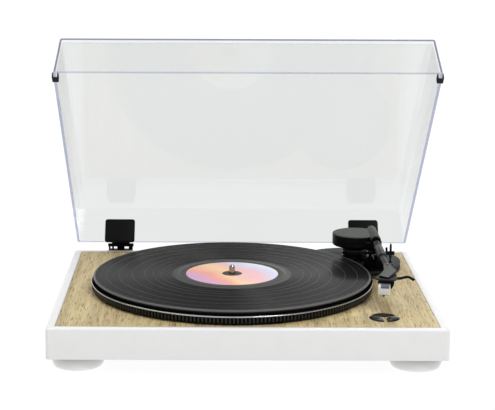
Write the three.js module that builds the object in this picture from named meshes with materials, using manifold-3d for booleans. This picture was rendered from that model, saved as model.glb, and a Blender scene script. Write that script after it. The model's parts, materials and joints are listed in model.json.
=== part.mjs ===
// Belt-drive automatic record player with a hinged clear dust cover, shown open.
// Millimetres, +X right, +Y back, +Z up. Plan positions below are measured from the
// middle of the plinth; LAYOUT.shiftY moves everything so that the origin is the
// centre of the whole object's footprint, on the floor.

import * as THREE from "three";
import { mergeVertices } from "three/addons/utils/BufferGeometryUtils.js";
import Module from "manifold-3d";

// ---------------------------------------------------------------- driving sizes

const LAYOUT = { shiftY: -11.74 };
const GAP = 0.3;

const PLINTH = {
  width: 400.4,
  depth: 333.6,
  bottom: 14.5,
  top: 47,
  wall: 3,
  deck: 3,
  edgeRadius: 3,
  cornerRadius: 3.5,
};
const PANEL = { width: 382, depth: 318.6, thickness: 2.7 };
const FOOT = { x: 170.5, y: 136, topRadius: 26.3, bottomRadius: 23.6, padRadius: 19 };
const COVER_PLATE = { thickness: 2.5, slots: 9, slotLength: 46, slotWidth: 4 };

const PLATTER = {
  x: -13.6,
  y: -4.8,
  bottom: 48.6,
  top: 57.8,
  lipRadius: 152.6,
  ribRoot: 150.7,
  ribTip: 152.1,
  ribs: 72,
  matRadius: 147.5,
  beltRadius: 86,
};
const RECORD = { radius: 150.5, thickness: 2.2, labelRadius: 50, labelHole: 11, hole: 3.65 };
const SPINDLE = { radius: 3.3, above: 9.6 };
const MOTOR = { x: -108.6, y: 55.2, radius: 19, height: 22, pulleyRadius: 7 };
const BELT = { width: 4, thickness: 0.8, height: 51.2 };

const LID = {
  width: 392.6,
  depth: 343.8,
  height: 45.5,
  draft: 4.16,
  wall: 3,
  openDeg: 43,
  backRimY: 162.3,
  backRimZ: 57.3,
};
const LID_HINGE = { x: 145, behind: 4, up: 23.9, padWidth: 35.5, padHeight: 29, padDepth: 4 };
const BUMPER = { fromFront: 13, length: 8.5 };

const ARM = {
  pivotX: 129,
  pivotY: 90,
  lineX: 149,
  axisZ: 82.5,
  tiltY: 52,
  rearX: 149.4,
  rearY: 116.6,
  rearZ: 84.7,
  rearRadius: 5.5,
  sleeveRadius: 4.8,
  tubeRadius: 3,
  headAngle: 10,
};
const ARM_BASE = { x: 121.6, y: 87.4, radius: 59, height: 8.8, platterClear: 2 };
const PUCK = { radius: 26.3, bottom: 73.2, top: 87, edge: 1.3 };
const CUE = { radius: 55, width: 5, fromDeg: -64, toDeg: -115, stemX: 142, stemY: 48 };
const REST = { x: 166.2, y: 60 };
const BUTTONS = {
  x: 139.3,
  y: -125.4,
  radius: 15.2,
  gap: 2.7,
  corner: 2.8,
  stem: 4,
  rise: 2,
  edge: 1.5,
  sunk: 1,
  clear: 0.35,
};

// The turning tilt of the opened lid about X.
const OPEN = (LID.openDeg * Math.PI) / 180;
const DECK = PLINTH.top;
const DECK_UNDER = DECK - PANEL.thickness - GAP - PLINTH.deck;
const RECORD_TOP = PLATTER.top + 0.1 + 2.3 + RECORD.thickness;

// ---------------------------------------------------------------- finishes

function finish(color, roughness, metalness) {
  return new THREE.MeshStandardMaterial({ color, roughness, metalness });
}

const white = finish(0xf1f1ef, 0.35, 0);
const oak = finish(0xc9b78f, 0.55, 0);
const clear = finish(0xdfe6e4, 0.08, 0);
const black = finish(0x1a1b1d, 0.45, 0);
const gloss = finish(0x0d0d0f, 0.12, 0);
const graphite = finish(0x3d3d3a, 0.5, 0.1);
const slate = finish(0x4a4a55, 0.4, 0.2);
const vinyl = finish(0x101011, 0.22, 0);
const paper = finish(0xd9a9b8, 0.5, 0);
const rubber = finish(0x202020, 0.8, 0);
const chrome = finish(0xd7d9dc, 0.12, 1);
const steel = finish(0x9a9da1, 0.35, 0.9);
const cream = finish(0xf3efe2, 0.4, 0);
const green = finish(0x2b6a41, 0.5, 0);
const red = finish(0xb3262a, 0.4, 0);
const board = finish(0x4d4a46, 0.7, 0);

// ---------------------------------------------------------------- solid tools

const wasm = await Module();
wasm.setup();

function toSolid(geometry) {
  const plain = geometry.clone();
  plain.deleteAttribute("normal");
  plain.deleteAttribute("uv");
  const welded = mergeVertices(plain, 1e-4);
  return new wasm.Manifold(
    new wasm.Mesh({
      numProp: 3,
      vertProperties: new Float32Array(welded.attributes.position.array),
      triVerts: new Uint32Array(welded.index.array),
    }),
  );
}

function fromSolid(solid) {
  const mesh = solid.getMesh();
  const geometry = new THREE.BufferGeometry();
  geometry.setAttribute("position", new THREE.BufferAttribute(mesh.vertProperties, 3));
  geometry.setIndex(new THREE.BufferAttribute(mesh.triVerts, 1));
  return geometry;
}

function join(...parts) {
  const solids = parts.map(toSolid);
  return fromSolid(solids.reduce((sum, next) => sum.add(next)));
}

function cut(body, ...tools) {
  const solids = tools.map(toSolid);
  return fromSolid(solids.reduce((rest, tool) => rest.subtract(tool), toSolid(body)));
}

function keepInside(body, tool) {
  return fromSolid(toSolid(body).intersect(toSolid(tool)));
}

// ---------------------------------------------------------------- shape tools

function box(x0, x1, y0, y1, z0, z1) {
  const g = new THREE.BoxGeometry(x1 - x0, y1 - y0, z1 - z0);
  return g.translate((x0 + x1) / 2, (y0 + y1) / 2, (z0 + z1) / 2);
}

function cylinderZ(x, y, radius, z0, z1, sides = 32) {
  const g = new THREE.CylinderGeometry(radius, radius, z1 - z0, sides);
  return g.rotateX(Math.PI / 2).translate(x, y, (z0 + z1) / 2);
}

function cylinderX(x0, x1, y, z, radius, sides = 20) {
  const g = new THREE.CylinderGeometry(radius, radius, x1 - x0, sides);
  return g.rotateZ(Math.PI / 2).translate((x0 + x1) / 2, y, z);
}

function cylinderY(x, y0, y1, z, radius, sides = 24) {
  const g = new THREE.CylinderGeometry(radius, radius, y1 - y0, sides);
  return g.translate(x, (y0 + y1) / 2, z);
}

// Turned body about a vertical line through (x, y); profile is [radius, z] pairs.
function turned(x, y, profile, sides = 48) {
  const points = profile.map(([r, z]) => new THREE.Vector2(r, z));
  if (points[0].x > 0) {
    points.push(points[0].clone());
  }
  const g = new THREE.LatheGeometry(points, sides);
  return g.rotateX(Math.PI / 2).translate(x, y, 0);
}

function outline(points) {
  return new THREE.Shape(points.map(([x, y]) => new THREE.Vector2(x, y)));
}

function roundedRect(width, depth, radius) {
  const w = width / 2;
  const d = depth / 2;
  const s = new THREE.Shape();
  s.moveTo(-w + radius, -d);
  s.lineTo(w - radius, -d);
  s.absarc(w - radius, -d + radius, radius, -Math.PI / 2, 0);
  s.lineTo(w, d - radius);
  s.absarc(w - radius, d - radius, radius, 0, Math.PI / 2);
  s.lineTo(-w + radius, d);
  s.absarc(-w + radius, d - radius, radius, Math.PI / 2, Math.PI);
  s.lineTo(-w, -d + radius);
  s.absarc(-w + radius, -d + radius, radius, Math.PI, Math.PI * 1.5);
  return s;
}

function extrudeUp(shape, z0, z1, curveSegments = 6) {
  const g = new THREE.ExtrudeGeometry(shape, {
    depth: z1 - z0,
    bevelEnabled: false,
    curveSegments,
  });
  return g.translate(0, 0, z0);
}

// Extrusion whose two ends are rounded over by `edge`.
function softExtrude(shape, z0, z1, edge, curveSegments = 6, bevelSegments = 3) {
  const g = new THREE.ExtrudeGeometry(shape, {
    depth: z1 - z0 - 2 * edge,
    bevelEnabled: true,
    bevelThickness: edge,
    bevelSize: edge,
    bevelOffset: -edge,
    bevelSegments,
    curveSegments,
  });
  return g.translate(0, 0, z0 + edge);
}

// Box whose top face is smaller by `draft` on every side.
function draftedBox(width, depth, height, draft) {
  const g = new THREE.BoxGeometry(width, depth, height);
  const p = g.attributes.position;
  for (let i = 0; i < p.count; i += 1) {
    if (p.getZ(i) > 0) {
      p.setX(i, p.getX(i) - Math.sign(p.getX(i)) * draft);
      p.setY(i, p.getY(i) - Math.sign(p.getY(i)) * draft);
    }
  }
  return g.translate(0, 0, height / 2);
}

// Rod that follows a smooth path, with an oval or flat section.
function sweptRod(path, halfWidth, halfHeight, steps) {
  const section = new THREE.Shape();
  section.absellipse(0, 0, halfWidth, halfHeight, 0, Math.PI * 2);
  return new THREE.ExtrudeGeometry(section, {
    steps,
    extrudePath: path,
    bevelEnabled: false,
    curveSegments: 4,
  });
}

// ---------------------------------------------------------------- plinth

function plinthShell() {
  const blank = softExtrude(
    roundedRect(PLINTH.width, PLINTH.depth, PLINTH.cornerRadius),
    PLINTH.bottom - PLINTH.edgeRadius,
    PLINTH.top,
    PLINTH.edgeRadius,
    3,
    3,
  );
  const trim = box(-300, 300, -300, 300, PLINTH.bottom - 10, PLINTH.bottom);
  const w = PLINTH.width / 2 - PLINTH.wall;
  const d = PLINTH.depth / 2 - PLINTH.wall;
  const room = box(-w, w, -d, d, PLINTH.bottom - 1, DECK_UNDER);
  const recess = box(
    -PANEL.width / 2 - GAP,
    PANEL.width / 2 + GAP,
    -PANEL.depth / 2 - GAP,
    PANEL.depth / 2 + GAP,
    PLINTH.top - PANEL.thickness - GAP,
    PLINTH.top + 1,
  );
  const backWindow = box(52, 178, d - 2, d + 6, 19, 37);
  return cut(blank, trim, room, recess, backWindow, ...shaftHoles(), ...stemHoles());
}

// Openings through the deck for the spindle bearing, the motor pulley and the tonearm shaft.
function shaftHoles() {
  const z0 = DECK_UNDER - 1;
  const z1 = DECK + 1;
  return [
    cylinderZ(PLATTER.x, PLATTER.y, 13, z0, z1, 24),
    cylinderZ(MOTOR.x, MOTOR.y, 11, z0, z1, 24),
    cylinderZ(ARM.pivotX, ARM.pivotY, 10, z0, z1, 24),
  ];
}

function stemHoles() {
  return buttonSpots().map((spot) =>
    cylinderZ(spot.x, spot.y, BUTTONS.stem + 0.5, DECK_UNDER - 1, DECK + 1, 16),
  );
}

function deckPanel() {
  const w = PANEL.width / 2;
  const d = PANEL.depth / 2;
  const sheet = box(-w, w, -d, d, DECK - PANEL.thickness, DECK);
  const petals = buttonSpots().map((spot) =>
    extrudeUp(petalShape(spot.deg, BUTTONS.clear), DECK - 5, DECK + 1, 4)
      .translate(BUTTONS.x, BUTTONS.y, 0),
  );
  return cut(sheet, ...shaftHoles(), ...petals);
}

function bottomCover() {
  const w = PLINTH.width / 2 - PLINTH.wall - 0.5;
  const d = PLINTH.depth / 2 - PLINTH.wall - 0.5;
  const z0 = PLINTH.bottom;
  const z1 = z0 + COVER_PLATE.thickness;
  const sheet = box(-w, w, -d, d, z0, z1);
  const slots = [];
  for (let i = 0; i < COVER_PLATE.slots; i += 1) {
    const x = 62 + i * 9;
    const half = COVER_PLATE.slotLength / 2;
    const wide = COVER_PLATE.slotWidth / 2;
    slots.push(box(x - wide, x + wide, 60 - half, 60 + half, z0 - 1, z1 + 1));
  }
  return cut(sheet, ...slots);
}

function footBody(x, y) {
  const { topRadius: top, bottomRadius: low, padRadius: pad } = FOOT;
  const z1 = PLINTH.bottom - GAP;
  return turned(
    x,
    y,
    [
      [4, 3],
      [pad + GAP, 3],
      [pad + GAP, 1],
      [low - 1.4, 1],
      [low + 0.6, 3],
      [top, z1 - 1.5],
      [top, z1],
      [4, z1],
    ],
    24,
  );
}

function footPad(x, y) {
  const r = FOOT.padRadius;
  return turned(x, y, [[4.5, 0], [r, 0], [r, 2.7], [4.5, 2.7]], 24);
}

// ---------------------------------------------------------------- drive

function spindleBearing() {
  const flange = DECK_UNDER - GAP;
  const z0 = 32;
  return turned(PLATTER.x, PLATTER.y, [
    [0, z0],
    [8, z0],
    [8, flange - 2.4],
    [17, flange - 2.4],
    [17, flange],
    [8, flange],
    [8, DECK + 0.8],
    [4, DECK + 0.8],
    [4, z0 + 2],
    [0, z0 + 2],
  ], 20);
}

function motorCan() {
  const z1 = DECK_UNDER - 0.5;
  const z0 = z1 - MOTOR.height;
  const can = cylinderZ(MOTOR.x, MOTOR.y, MOTOR.radius, z0, z1, 40);
  const shaft = cylinderZ(MOTOR.x, MOTOR.y, 1.5, z1 - 1, BELT.height + 3, 16);
  const ears = box(MOTOR.x - 26, MOTOR.x + 26, MOTOR.y - 6, MOTOR.y + 6, z1 - 2, z1);
  return join(can, shaft, ears);
}

function motorPulley() {
  const r = MOTOR.pulleyRadius;
  const mid = BELT.height;
  return turned(MOTOR.x, MOTOR.y, [
    [1.8, mid - 3.8],
    [r + 1, mid - 3.8],
    [r + 1, mid - 2.8],
    [r - 0.2, mid - 2.4],
    [r, mid],
    [r - 0.2, mid + 2.4],
    [r + 1, mid + 2.8],
    [r + 1, mid + 3.2],
    [1.8, mid + 3.2],
  ], 20);
}

// Endless flat belt round the platter's inner ring and the motor pulley.
function driveBelt() {
  const big = { x: PLATTER.x, y: PLATTER.y, r: PLATTER.beltRadius + GAP };
  const small = { x: MOTOR.x, y: MOTOR.y, r: MOTOR.pulleyRadius + GAP };
  const outer = beltLoop(big, small, BELT.thickness);
  const inner = beltLoop(big, small, 0);
  outer.holes.push(new THREE.Path(inner.getPoints(1)));
  const half = BELT.width / 2;
  return extrudeUp(outer, BELT.height - half, BELT.height + half, 1);
}

function beltLoop(big, small, grow) {
  const rb = big.r + grow;
  const rs = small.r + grow;
  const dx = small.x - big.x;
  const dy = small.y - big.y;
  const along = Math.atan2(dy, dx);
  const lean = Math.acos((rb - rs) / Math.hypot(dx, dy));
  const points = [];
  arcPoints(points, big, rb, along + lean, along + Math.PI * 2 - lean, 44);
  arcPoints(points, small, rs, along - lean, along + lean, 12);
  return outline(points);
}

function arcPoints(list, centre, radius, from, to, steps) {
  for (let i = 0; i <= steps; i += 1) {
    const a = from + ((to - from) * i) / steps;
    list.push([centre.x + radius * Math.cos(a), centre.y + radius * Math.sin(a)]);
  }
}

// Shallow dish: hub, belt ring, and a rim whose skirt is a ring of fine upright ribs.
function platterBody() {
  const z = PLATTER.bottom;
  const t = PLATTER.top;
  const belt = PLATTER.beltRadius;
  const under = t - 2.6;
  const dish = turned(PLATTER.x, PLATTER.y, [
    [4, z + 0.6],
    [15, z + 0.6],
    [17, under],
    [belt - 3, under],
    [belt - 3, z],
    [belt, z],
    [belt, under],
    [PLATTER.lipRadius, under - 0.3],
    [PLATTER.lipRadius, under + 0.3],
    [PLATTER.lipRadius - 3.2, t - 0.4],
    [PLATTER.lipRadius - 4.2, t],
    [4, t],
  ], 72);
  return join(dish, ribRing(z, under + 0.1));
}

function ribRing(z0, z1) {
  const points = [];
  const pitch = (Math.PI * 2) / PLATTER.ribs;
  const steps = [
    [0, PLATTER.ribRoot - 0.1],
    [0.28, PLATTER.ribTip],
    [0.62, PLATTER.ribTip],
  ];
  for (let i = 0; i < PLATTER.ribs; i += 1) {
    for (const [share, radius] of steps) {
      const a = (i + share) * pitch;
      points.push([PLATTER.x + radius * Math.cos(a), PLATTER.y + radius * Math.sin(a)]);
    }
  }
  const ring = outline(points);
  const bore = [];
  arcPoints(bore, PLATTER, PLATTER.ribRoot - 4.9, 0, Math.PI * 2 * (1 - 1 / 48), 47);
  ring.holes.push(new THREE.Path(bore.map(([x, y]) => new THREE.Vector2(x, y))));
  return extrudeUp(ring, z0, z1, 1);
}

function platterMat() {
  const z0 = PLATTER.top + 0.1;
  const r = PLATTER.matRadius;
  return turned(PLATTER.x, PLATTER.y, [
    [5, z0],
    [r, z0],
    [r, z0 + 2.2],
    [52, z0 + 2.2],
    [51, z0 + 1.6],
    [5, z0 + 1.6],
  ], 48);
}

function spindlePin() {
  const r = SPINDLE.radius;
  const tip = RECORD_TOP + SPINDLE.above;
  return turned(PLATTER.x, PLATTER.y, [
    [0, PLATTER.bottom - 14],
    [r, PLATTER.bottom - 14],
    [r, tip - 3.4],
    [r * 0.86, tip - 1.6],
    [r * 0.5, tip - 0.4],
    [0, tip],
  ], 16);
}

function recordDisc() {
  const z0 = PLATTER.top + 2.4;
  const t = RECORD_TOP;
  const r = RECORD.radius;
  const label = RECORD.labelRadius + GAP;
  const core = RECORD.labelHole - GAP;
  return turned(PLATTER.x, PLATTER.y, [
    [RECORD.hole, z0],
    [r - 0.7, z0],
    [r, z0 + 0.7],
    [r, t - 0.7],
    [r - 0.7, t - 0.1],
    [r - 4.5, t - 0.3],
    [label + 8, t - 0.3],
    [label + 5, t],
    [label, t],
    [label, t - 0.7],
    [core, t - 0.7],
    [core, t],
    [RECORD.hole, t],
  ], 60);
}

function recordLabel() {
  const t = RECORD_TOP;
  return turned(PLATTER.x, PLATTER.y, [
    [RECORD.labelHole, t - 0.4],
    [RECORD.labelRadius, t - 0.4],
    [RECORD.labelRadius, t],
    [RECORD.labelHole, t],
  ], 40);
}

// ---------------------------------------------------------------- tonearm base

function tonearmBase() {
  const z0 = DECK + 0.1;
  const z1 = DECK + ARM_BASE.height;
  const r = ARM_BASE.radius;
  const disc = turned(ARM_BASE.x, ARM_BASE.y, [
    [0, z0],
    [r - 0.6, z0],
    [r, z0 + 0.6],
    [r, z0 + 3.4],
    [r - 0.9, z0 + 4],
    [r - 0.9, z0 + 4.7],
    [r - 0.2, z0 + 5.2],
    [r - 0.2, z1 - 0.6],
    [r - 0.9, z1],
    [0, z1],
  ], 60);
  const bite = cylinderZ(PLATTER.x, PLATTER.y, PLATTER.lipRadius + ARM_BASE.platterClear,
    z0 - 1, z1 + 1, 96);
  const bore = cylinderZ(ARM.pivotX, ARM.pivotY, 8, z0 - 1, z1 + 1, 32);
  return cut(disc, bite, bore);
}

// Stack of three glossy rings that carries the arm's vertical pivot.
function tonearmColumn() {
  const z0 = DECK + ARM_BASE.height + GAP;
  const z1 = PUCK.bottom - GAP;
  const r = 15.3;
  const neck = 13;
  const profile = [[5, z0], [r + 0.6, z0], [r + 0.6, z0 + 1.2], [neck, z0 + 1.8]];
  for (const mid of [59.4, 63.9, 68.4]) {
    profile.push([neck, mid - 1.9], [r, mid - 1], [r, mid + 1], [neck, mid + 1.9]);
  }
  profile.push([neck, z1], [5, z1]);
  return turned(ARM.pivotX, ARM.pivotY, profile, 24);
}

function pivotShaft() {
  return cylinderZ(ARM.pivotX, ARM.pivotY, 4, DECK - 14, PUCK.bottom + 3, 24);
}

// Housing of the arm lift: a tall block, a lower ribbed step and the guide of the lift's stem.
function liftHousing() {
  const z0 = DECK + ARM_BASE.height + GAP;
  const tall = softExtrude(roundedRect(10.4, 18, 1.6), z0 - 1, z0 + 12.9, 0.8, 3, 1);
  tall.translate(152.4, 47.2, 0);
  const step = softExtrude(roundedRect(12, 15, 1.6), z0 - 1, z0 + 8, 0.8, 3, 1);
  step.translate(142.4, 48.4, 0);
  const guide = cylinderZ(CUE.stemX, CUE.stemY, 3.4, z0 + 7, z0 + 12.4, 20);
  const bore = cylinderZ(CUE.stemX, CUE.stemY, 1.8, z0 + 2, z0 + 14, 16);
  const ribs = [0, 1, 2].map((i) => box(135.6, 137.2, 42.6 + i * 4.4, 44.6 + i * 4.4, z0 + 1, z0 + 7));
  const below = box(120, 170, 20, 80, z0 - 3, z0);
  return cut(join(tall, step, guide, ...ribs), bore, below);
}

// Curved bar under the arm that lifts it off the record.
function cueBar() {
  const z1 = ARM.axisZ - ARM.sleeveRadius - 0.5;
  const z0 = z1 - 2.2;
  const from = (CUE.fromDeg * Math.PI) / 180;
  const to = (CUE.toDeg * Math.PI) / 180;
  const points = [];
  const half = CUE.width / 2;
  const centre = { x: ARM.pivotX, y: ARM.pivotY };
  arcPoints(points, centre, CUE.radius - half, from, to, 16);
  arcPoints(points, centre, CUE.radius + half, to, from, 16);
  const bar = extrudeUp(outline(points), z0, z1, 1);
  const foot = DECK + ARM_BASE.height + 4;
  const stem = cylinderZ(CUE.stemX, CUE.stemY, 1.5, foot, z1 - 1, 16);
  const link = box(CUE.stemX - 2, CUE.stemX + 2, 36, CUE.stemY + 1.4, z0, z1 - 0.4);
  return join(bar, stem, link);
}

function restPost() {
  const foot = DECK + ARM_BASE.height + GAP;
  return turned(REST.x, REST.y, [
    [0, foot],
    [3, foot],
    [3, foot + 1],
    [1.3, foot + 1.8],
    [1.1, foot + 3.2],
    [2.3, foot + 3.6],
    [2.3, foot + 4.8],
    [1.1, foot + 5.2],
    [1.1, foot + 9],
    [1.8, foot + 9.4],
    [1.8, foot + 11.6],
    [0, foot + 11.6],
  ], 16);
}

// Clip bar on top of the rest post, with a short upright prong at its free end.
function restClip() {
  const z = DECK + ARM_BASE.height + 12.2;
  const bar = softExtrude(roundedRect(10.6, 3.2, 1.4), z, z + 4, 0.5, 3, 1);
  const prong = cylinderZ(-4, 0, 1.25, z + 2, z + 8.6, 12);
  const finger = turned(0.7, 0, [[0, z + 2], [1.3, z + 2], [1.15, z + 10.8],
    [0.6, z + 13], [0, z + 13.2]], 16);
  return join(bar, prong, finger).translate(REST.x - 0.7, REST.y, 0);
}

// ---------------------------------------------------------------- tonearm

// Drum over the pivot, fused with the rear barrel of the arm.
function armHousing() {
  const { bottom: z0, top: z1, radius: r, edge: e } = PUCK;
  const { rearX: x, rearY, rearZ: z, rearRadius } = ARM;
  const drum = turned(ARM.pivotX, ARM.pivotY, [
    [0, z0],
    [r - 0.8, z0],
    [r, z0 + 0.8],
    [r, z1 - e],
    [r - 0.3 * e, z1 - 0.3 * e],
    [r - e, z1],
    [0, z1],
  ], 40);
  const barrel = cylinderY(x, ARM.tiltY + 7.1, rearY - 2, z, rearRadius, 24);
  const nose = new THREE.SphereGeometry(rearRadius, 16, 8);
  nose.scale(1, 0.62, 1).translate(x, rearY - 2, z);
  const socket = cylinderZ(ARM.pivotX, ARM.pivotY, 4 + GAP, z0 - 1, z0 + 3.4, 24);
  return cut(join(drum, barrel, nose), socket);
}

// Black bearing fork in front of the drum; its cheeks hold the tilt pin.
function armFork() {
  const { lineX: x, tiltY: y, axisZ: z } = ARM;
  const collar = cylinderY(x + 0.2, y + 4, y + 6.8, z + 0.9, ARM.rearRadius, 28);
  const cheekL = box(x - 5.6, x - 4.1, y - 2.6, y + 5, z - 3, z + 3.4);
  const cheekR = box(x + 4.1, x + 5.6, y - 2.6, y + 5, z - 3, z + 3.4);
  const pin = cylinderX(x - 5.4, x + 5.4, y, z, 1, 14);
  return join(collar, cheekL, cheekR, pin);
}

// Sleeve round the tube. Its thinner neck runs back inside the ring and the collar to a
// rounded heel that turns on the tilt pin.
function armSleeve() {
  const { lineX: x, tiltY: y, axisZ: z } = ARM;
  const front = -11.5;
  const body = cylinderY(x, front, 26.7, z, ARM.sleeveRadius, 28);
  const neck = cylinderY(x, 26, 43.4, z, 3.2, 20);
  const tongue = box(x - 3, x + 3, 43, y + 0.6, z - 2.4, z + 2.4);
  const heel = cylinderX(x - 3, x + 3, y, z, 2.4, 20);
  const eye = cylinderX(x - 7, x + 7, y, z, 1 + GAP, 14);
  const bore = cylinderY(x, front - 1, front + 12, z, ARM.tubeRadius + GAP, 24);
  return cut(join(body, neck, tongue, heel), eye, bore);
}

function bearingRing() {
  const ring = cylinderY(ARM.lineX, 27, 28.2, ARM.axisZ, ARM.sleeveRadius + 0.1, 28);
  return cut(ring, cylinderY(ARM.lineX, 26, 30, ARM.axisZ, 3.2 + GAP, 20));
}

// Black collar between the ring and the fork.
function armCollar() {
  const { lineX: x, axisZ: z } = ARM;
  const collar = cylinderY(x, 28.5, 48.6, z, ARM.sleeveRadius, 28);
  const bore = cylinderY(x, 28, 43.8, z, 3.2 + GAP, 20);
  const slot = box(x - 3.3, x + 3.3, 42.5, 49, z - 2.7, z + 2.7);
  return cut(collar, bore, slot);
}

function armTube() {
  return cylinderY(ARM.lineX, -57.6, -0.6, ARM.axisZ, ARM.tubeRadius, 24);
}

// Places a body drawn along -Y from the tube's end into the headshell's offset line.
function onHead(geometry) {
  const turn = (-ARM.headAngle * Math.PI) / 180;
  return geometry.rotateZ(turn).translate(ARM.lineX, -56, 0);
}

// Thin flange with a raised, tapering spine whose right front corner is cut away.
function headshell() {
  const z0 = 77.6;
  const flangeTop = 79.3;
  const z1 = 86.2;
  const flange = outline([
    [-3.6, 3],
    [-4.2, -9],
    [-11, -33.6],
    [-10.3, -35.4],
    [-7, -38.2],
    [9.2, -39.3],
    [12, -36],
    [11.6, -24],
    [10.3, -13.2],
    [7.6, -11.2],
    [3.9, -3],
    [3.9, 3],
  ]);
  const spine = outline([
    [-3.6, 3],
    [-3.2, -8],
    [-2.2, -15.6],
    [-6.3, -32.9],
    [3.5, -38.2],
    [10.1, -18.5],
    [10, -13.2],
    [7.6, -11.4],
    [3.9, -3],
    [3.9, 3],
  ]);
  const blank = join(extrudeUp(flange, z0, flangeTop, 1), extrudeUp(spine, z0 + 0.4, z1, 1));
  const slope = box(-30, 30, -60, 0, 0, 12).rotateX(0.117).translate(0, 1.5, z1 - 0.4);
  const socket = cylinderY(ARM.lineX, -58, -48, ARM.axisZ, ARM.tubeRadius + GAP, 24);
  return cut(onHead(cut(blank, slope)), socket);
}

function cartridgeMount() {
  const plate = box(-6.8, 9.2, -38.4, -14, 74.5, 77.3);
  const step = box(-7.4, 9.8, -39.4, -37.2, 75, 76.3);
  return onHead(join(plate, step));
}

function cartridgeBody() {
  const side = outline([
    [-48.6, 64.4],
    [-50.4, 66],
    [-50.4, 74.2],
    [-26, 74.2],
    [-26, 67.5],
    [-35, 64.4],
  ]);
  const g = new THREE.ExtrudeGeometry(side, {
    depth: 10.4,
    bevelEnabled: true,
    bevelThickness: 0.8,
    bevelSize: 0.8,
    bevelOffset: -0.8,
    bevelSegments: 2,
  });
  g.rotateX(Math.PI / 2).rotateZ(Math.PI / 2).translate(-5.35, 0, 0);
  const brow = box(-5.6, 5.3, -50, -40.3, 73, 75);
  const gap = box(-2.2, 2.2, -49, -38, 60, 65.8);
  return onHead(cut(join(g, brow), gap));
}

function stylus() {
  const cantilever = cylinderY(0, -48.2, -38.4, 65.1, 0.5, 10);
  const tip = new THREE.ConeGeometry(0.7, 1.6, 10);
  tip.rotateX(-Math.PI / 2).translate(0, -47.6, 64.3);
  return onHead(join(cantilever, tip));
}

function fingerLift() {
  const path = new THREE.CatmullRomCurve3([
    new THREE.Vector3(12.2, -31, 78.7),
    new THREE.Vector3(15, -31.4, 79),
    new THREE.Vector3(20, -31.8, 80.5),
    new THREE.Vector3(24, -32.2, 81),
    new THREE.Vector3(28.8, -32.6, 78.7),
  ]);
  const bar = sweptRod(path, 1, 1.5, 12);
  const tip = new THREE.SphereGeometry(1.5, 12, 8).scale(0.9, 1.1, 0.9).translate(28.8, -32.6, 78.7);
  return onHead(join(bar, tip));
}

// ---------------------------------------------------------------- buttons

function buttonSpots() {
  const spots = [];
  for (const [name, deg] of [["back", 90], ["left", 210], ["right", 330]]) {
    const a = (deg * Math.PI) / 180;
    spots.push({
      name,
      deg,
      x: BUTTONS.x + 8.2 * Math.cos(a),
      y: BUTTONS.y + 8.2 * Math.sin(a),
    });
  }
  return spots;
}

// Pillow-shaped third of a disc, sunk in its own cut-out, on a round stem through the deck.
function buttonPetal(spot) {
  const z0 = DECK - BUTTONS.sunk;
  const z1 = DECK + BUTTONS.rise;
  const pillow = softExtrude(petalShape(spot.deg, 0), z0 - 2, z1, BUTTONS.edge, 4, 3);
  pillow.translate(BUTTONS.x, BUTTONS.y, 0);
  const petal = keepInside(pillow, box(100, 180, -160, -90, z0, z1 + 1));
  const stem = cylinderZ(spot.x, spot.y, BUTTONS.stem, DECK - 9, z0 + 0.5, 16);
  return join(petal, stem);
}

// Third of a disc with soft corners: its straight sides stand half the gap, less `grow`,
// from the dividing lines, and its curved side is `grow` outside the disc.
function petalShape(deg, grow) {
  const third = Math.PI / 3;
  const middle = (deg * Math.PI) / 180;
  const radius = BUTTONS.radius + grow;
  const soft = BUTTONS.corner;
  const inset = (BUTTONS.gap / 2 - grow) / Math.sin(third);
  const reach = Math.sqrt(radius ** 2 - (inset * Math.sin(third)) ** 2) - inset * Math.cos(third);
  const onSide = (sign, along) => {
    const px = inset + along * Math.cos(third);
    const py = sign * along * Math.sin(third);
    return [px * Math.cos(middle) - py * Math.sin(middle), px * Math.sin(middle) + py * Math.cos(middle)];
  };
  const tipAngle = Math.atan2(reach * Math.sin(third), inset + reach * Math.cos(third));
  const half = tipAngle - soft / radius;
  const arcEnd = (sign) => [radius * Math.cos(middle + sign * half), radius * Math.sin(middle + sign * half)];
  const s = new THREE.Shape();
  s.moveTo(...onSide(-1, soft));
  s.lineTo(...onSide(-1, reach - soft));
  s.quadraticCurveTo(...onSide(-1, reach), ...arcEnd(-1));
  s.absarc(0, 0, radius, middle - half, middle + half);
  s.quadraticCurveTo(...onSide(1, reach), ...onSide(1, reach - soft));
  s.lineTo(...onSide(1, soft));
  s.quadraticCurveTo(...onSide(1, 0), ...onSide(-1, soft));
  return s;
}

function buttonBlock() {
  const z1 = DECK_UNDER - 0.5;
  const block = box(BUTTONS.x - 19, BUTTONS.x + 19, BUTTONS.y - 19, BUTTONS.y + 19, z1 - 12, z1);
  const pockets = buttonSpots().map((s) => cylinderZ(s.x, s.y, BUTTONS.stem + 0.5, z1 - 8, z1 + 1, 16));
  return cut(block, ...pockets);
}

// ---------------------------------------------------------------- back panel and board

const BACK_Y = PLINTH.depth / 2;

function connectorPlate() {
  const y1 = BACK_Y - 0.6;
  const plate = box(50, 180, BACK_Y - PLINTH.wall - 1.8, BACK_Y - PLINTH.wall - GAP, 18.2, 38);
  const face = box(52.3, 177.7, BACK_Y - PLINTH.wall - 1, y1, 19.3, 36.7);
  const holes = [];
  for (const x of [66, 82]) {
    holes.push(cylinderY(x, BACK_Y - 8, BACK_Y + 2, 28, 5, 24));
  }
  holes.push(cylinderY(98, BACK_Y - 8, BACK_Y + 2, 28, 2.2, 16));
  holes.push(cylinderY(134, BACK_Y - 8, BACK_Y + 2, 28, 4.4, 24));
  holes.push(box(153.5, 168.5, BACK_Y - 8, BACK_Y + 2, 22.6, 33.4));
  return cut(join(plate, face), ...holes);
}

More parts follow.
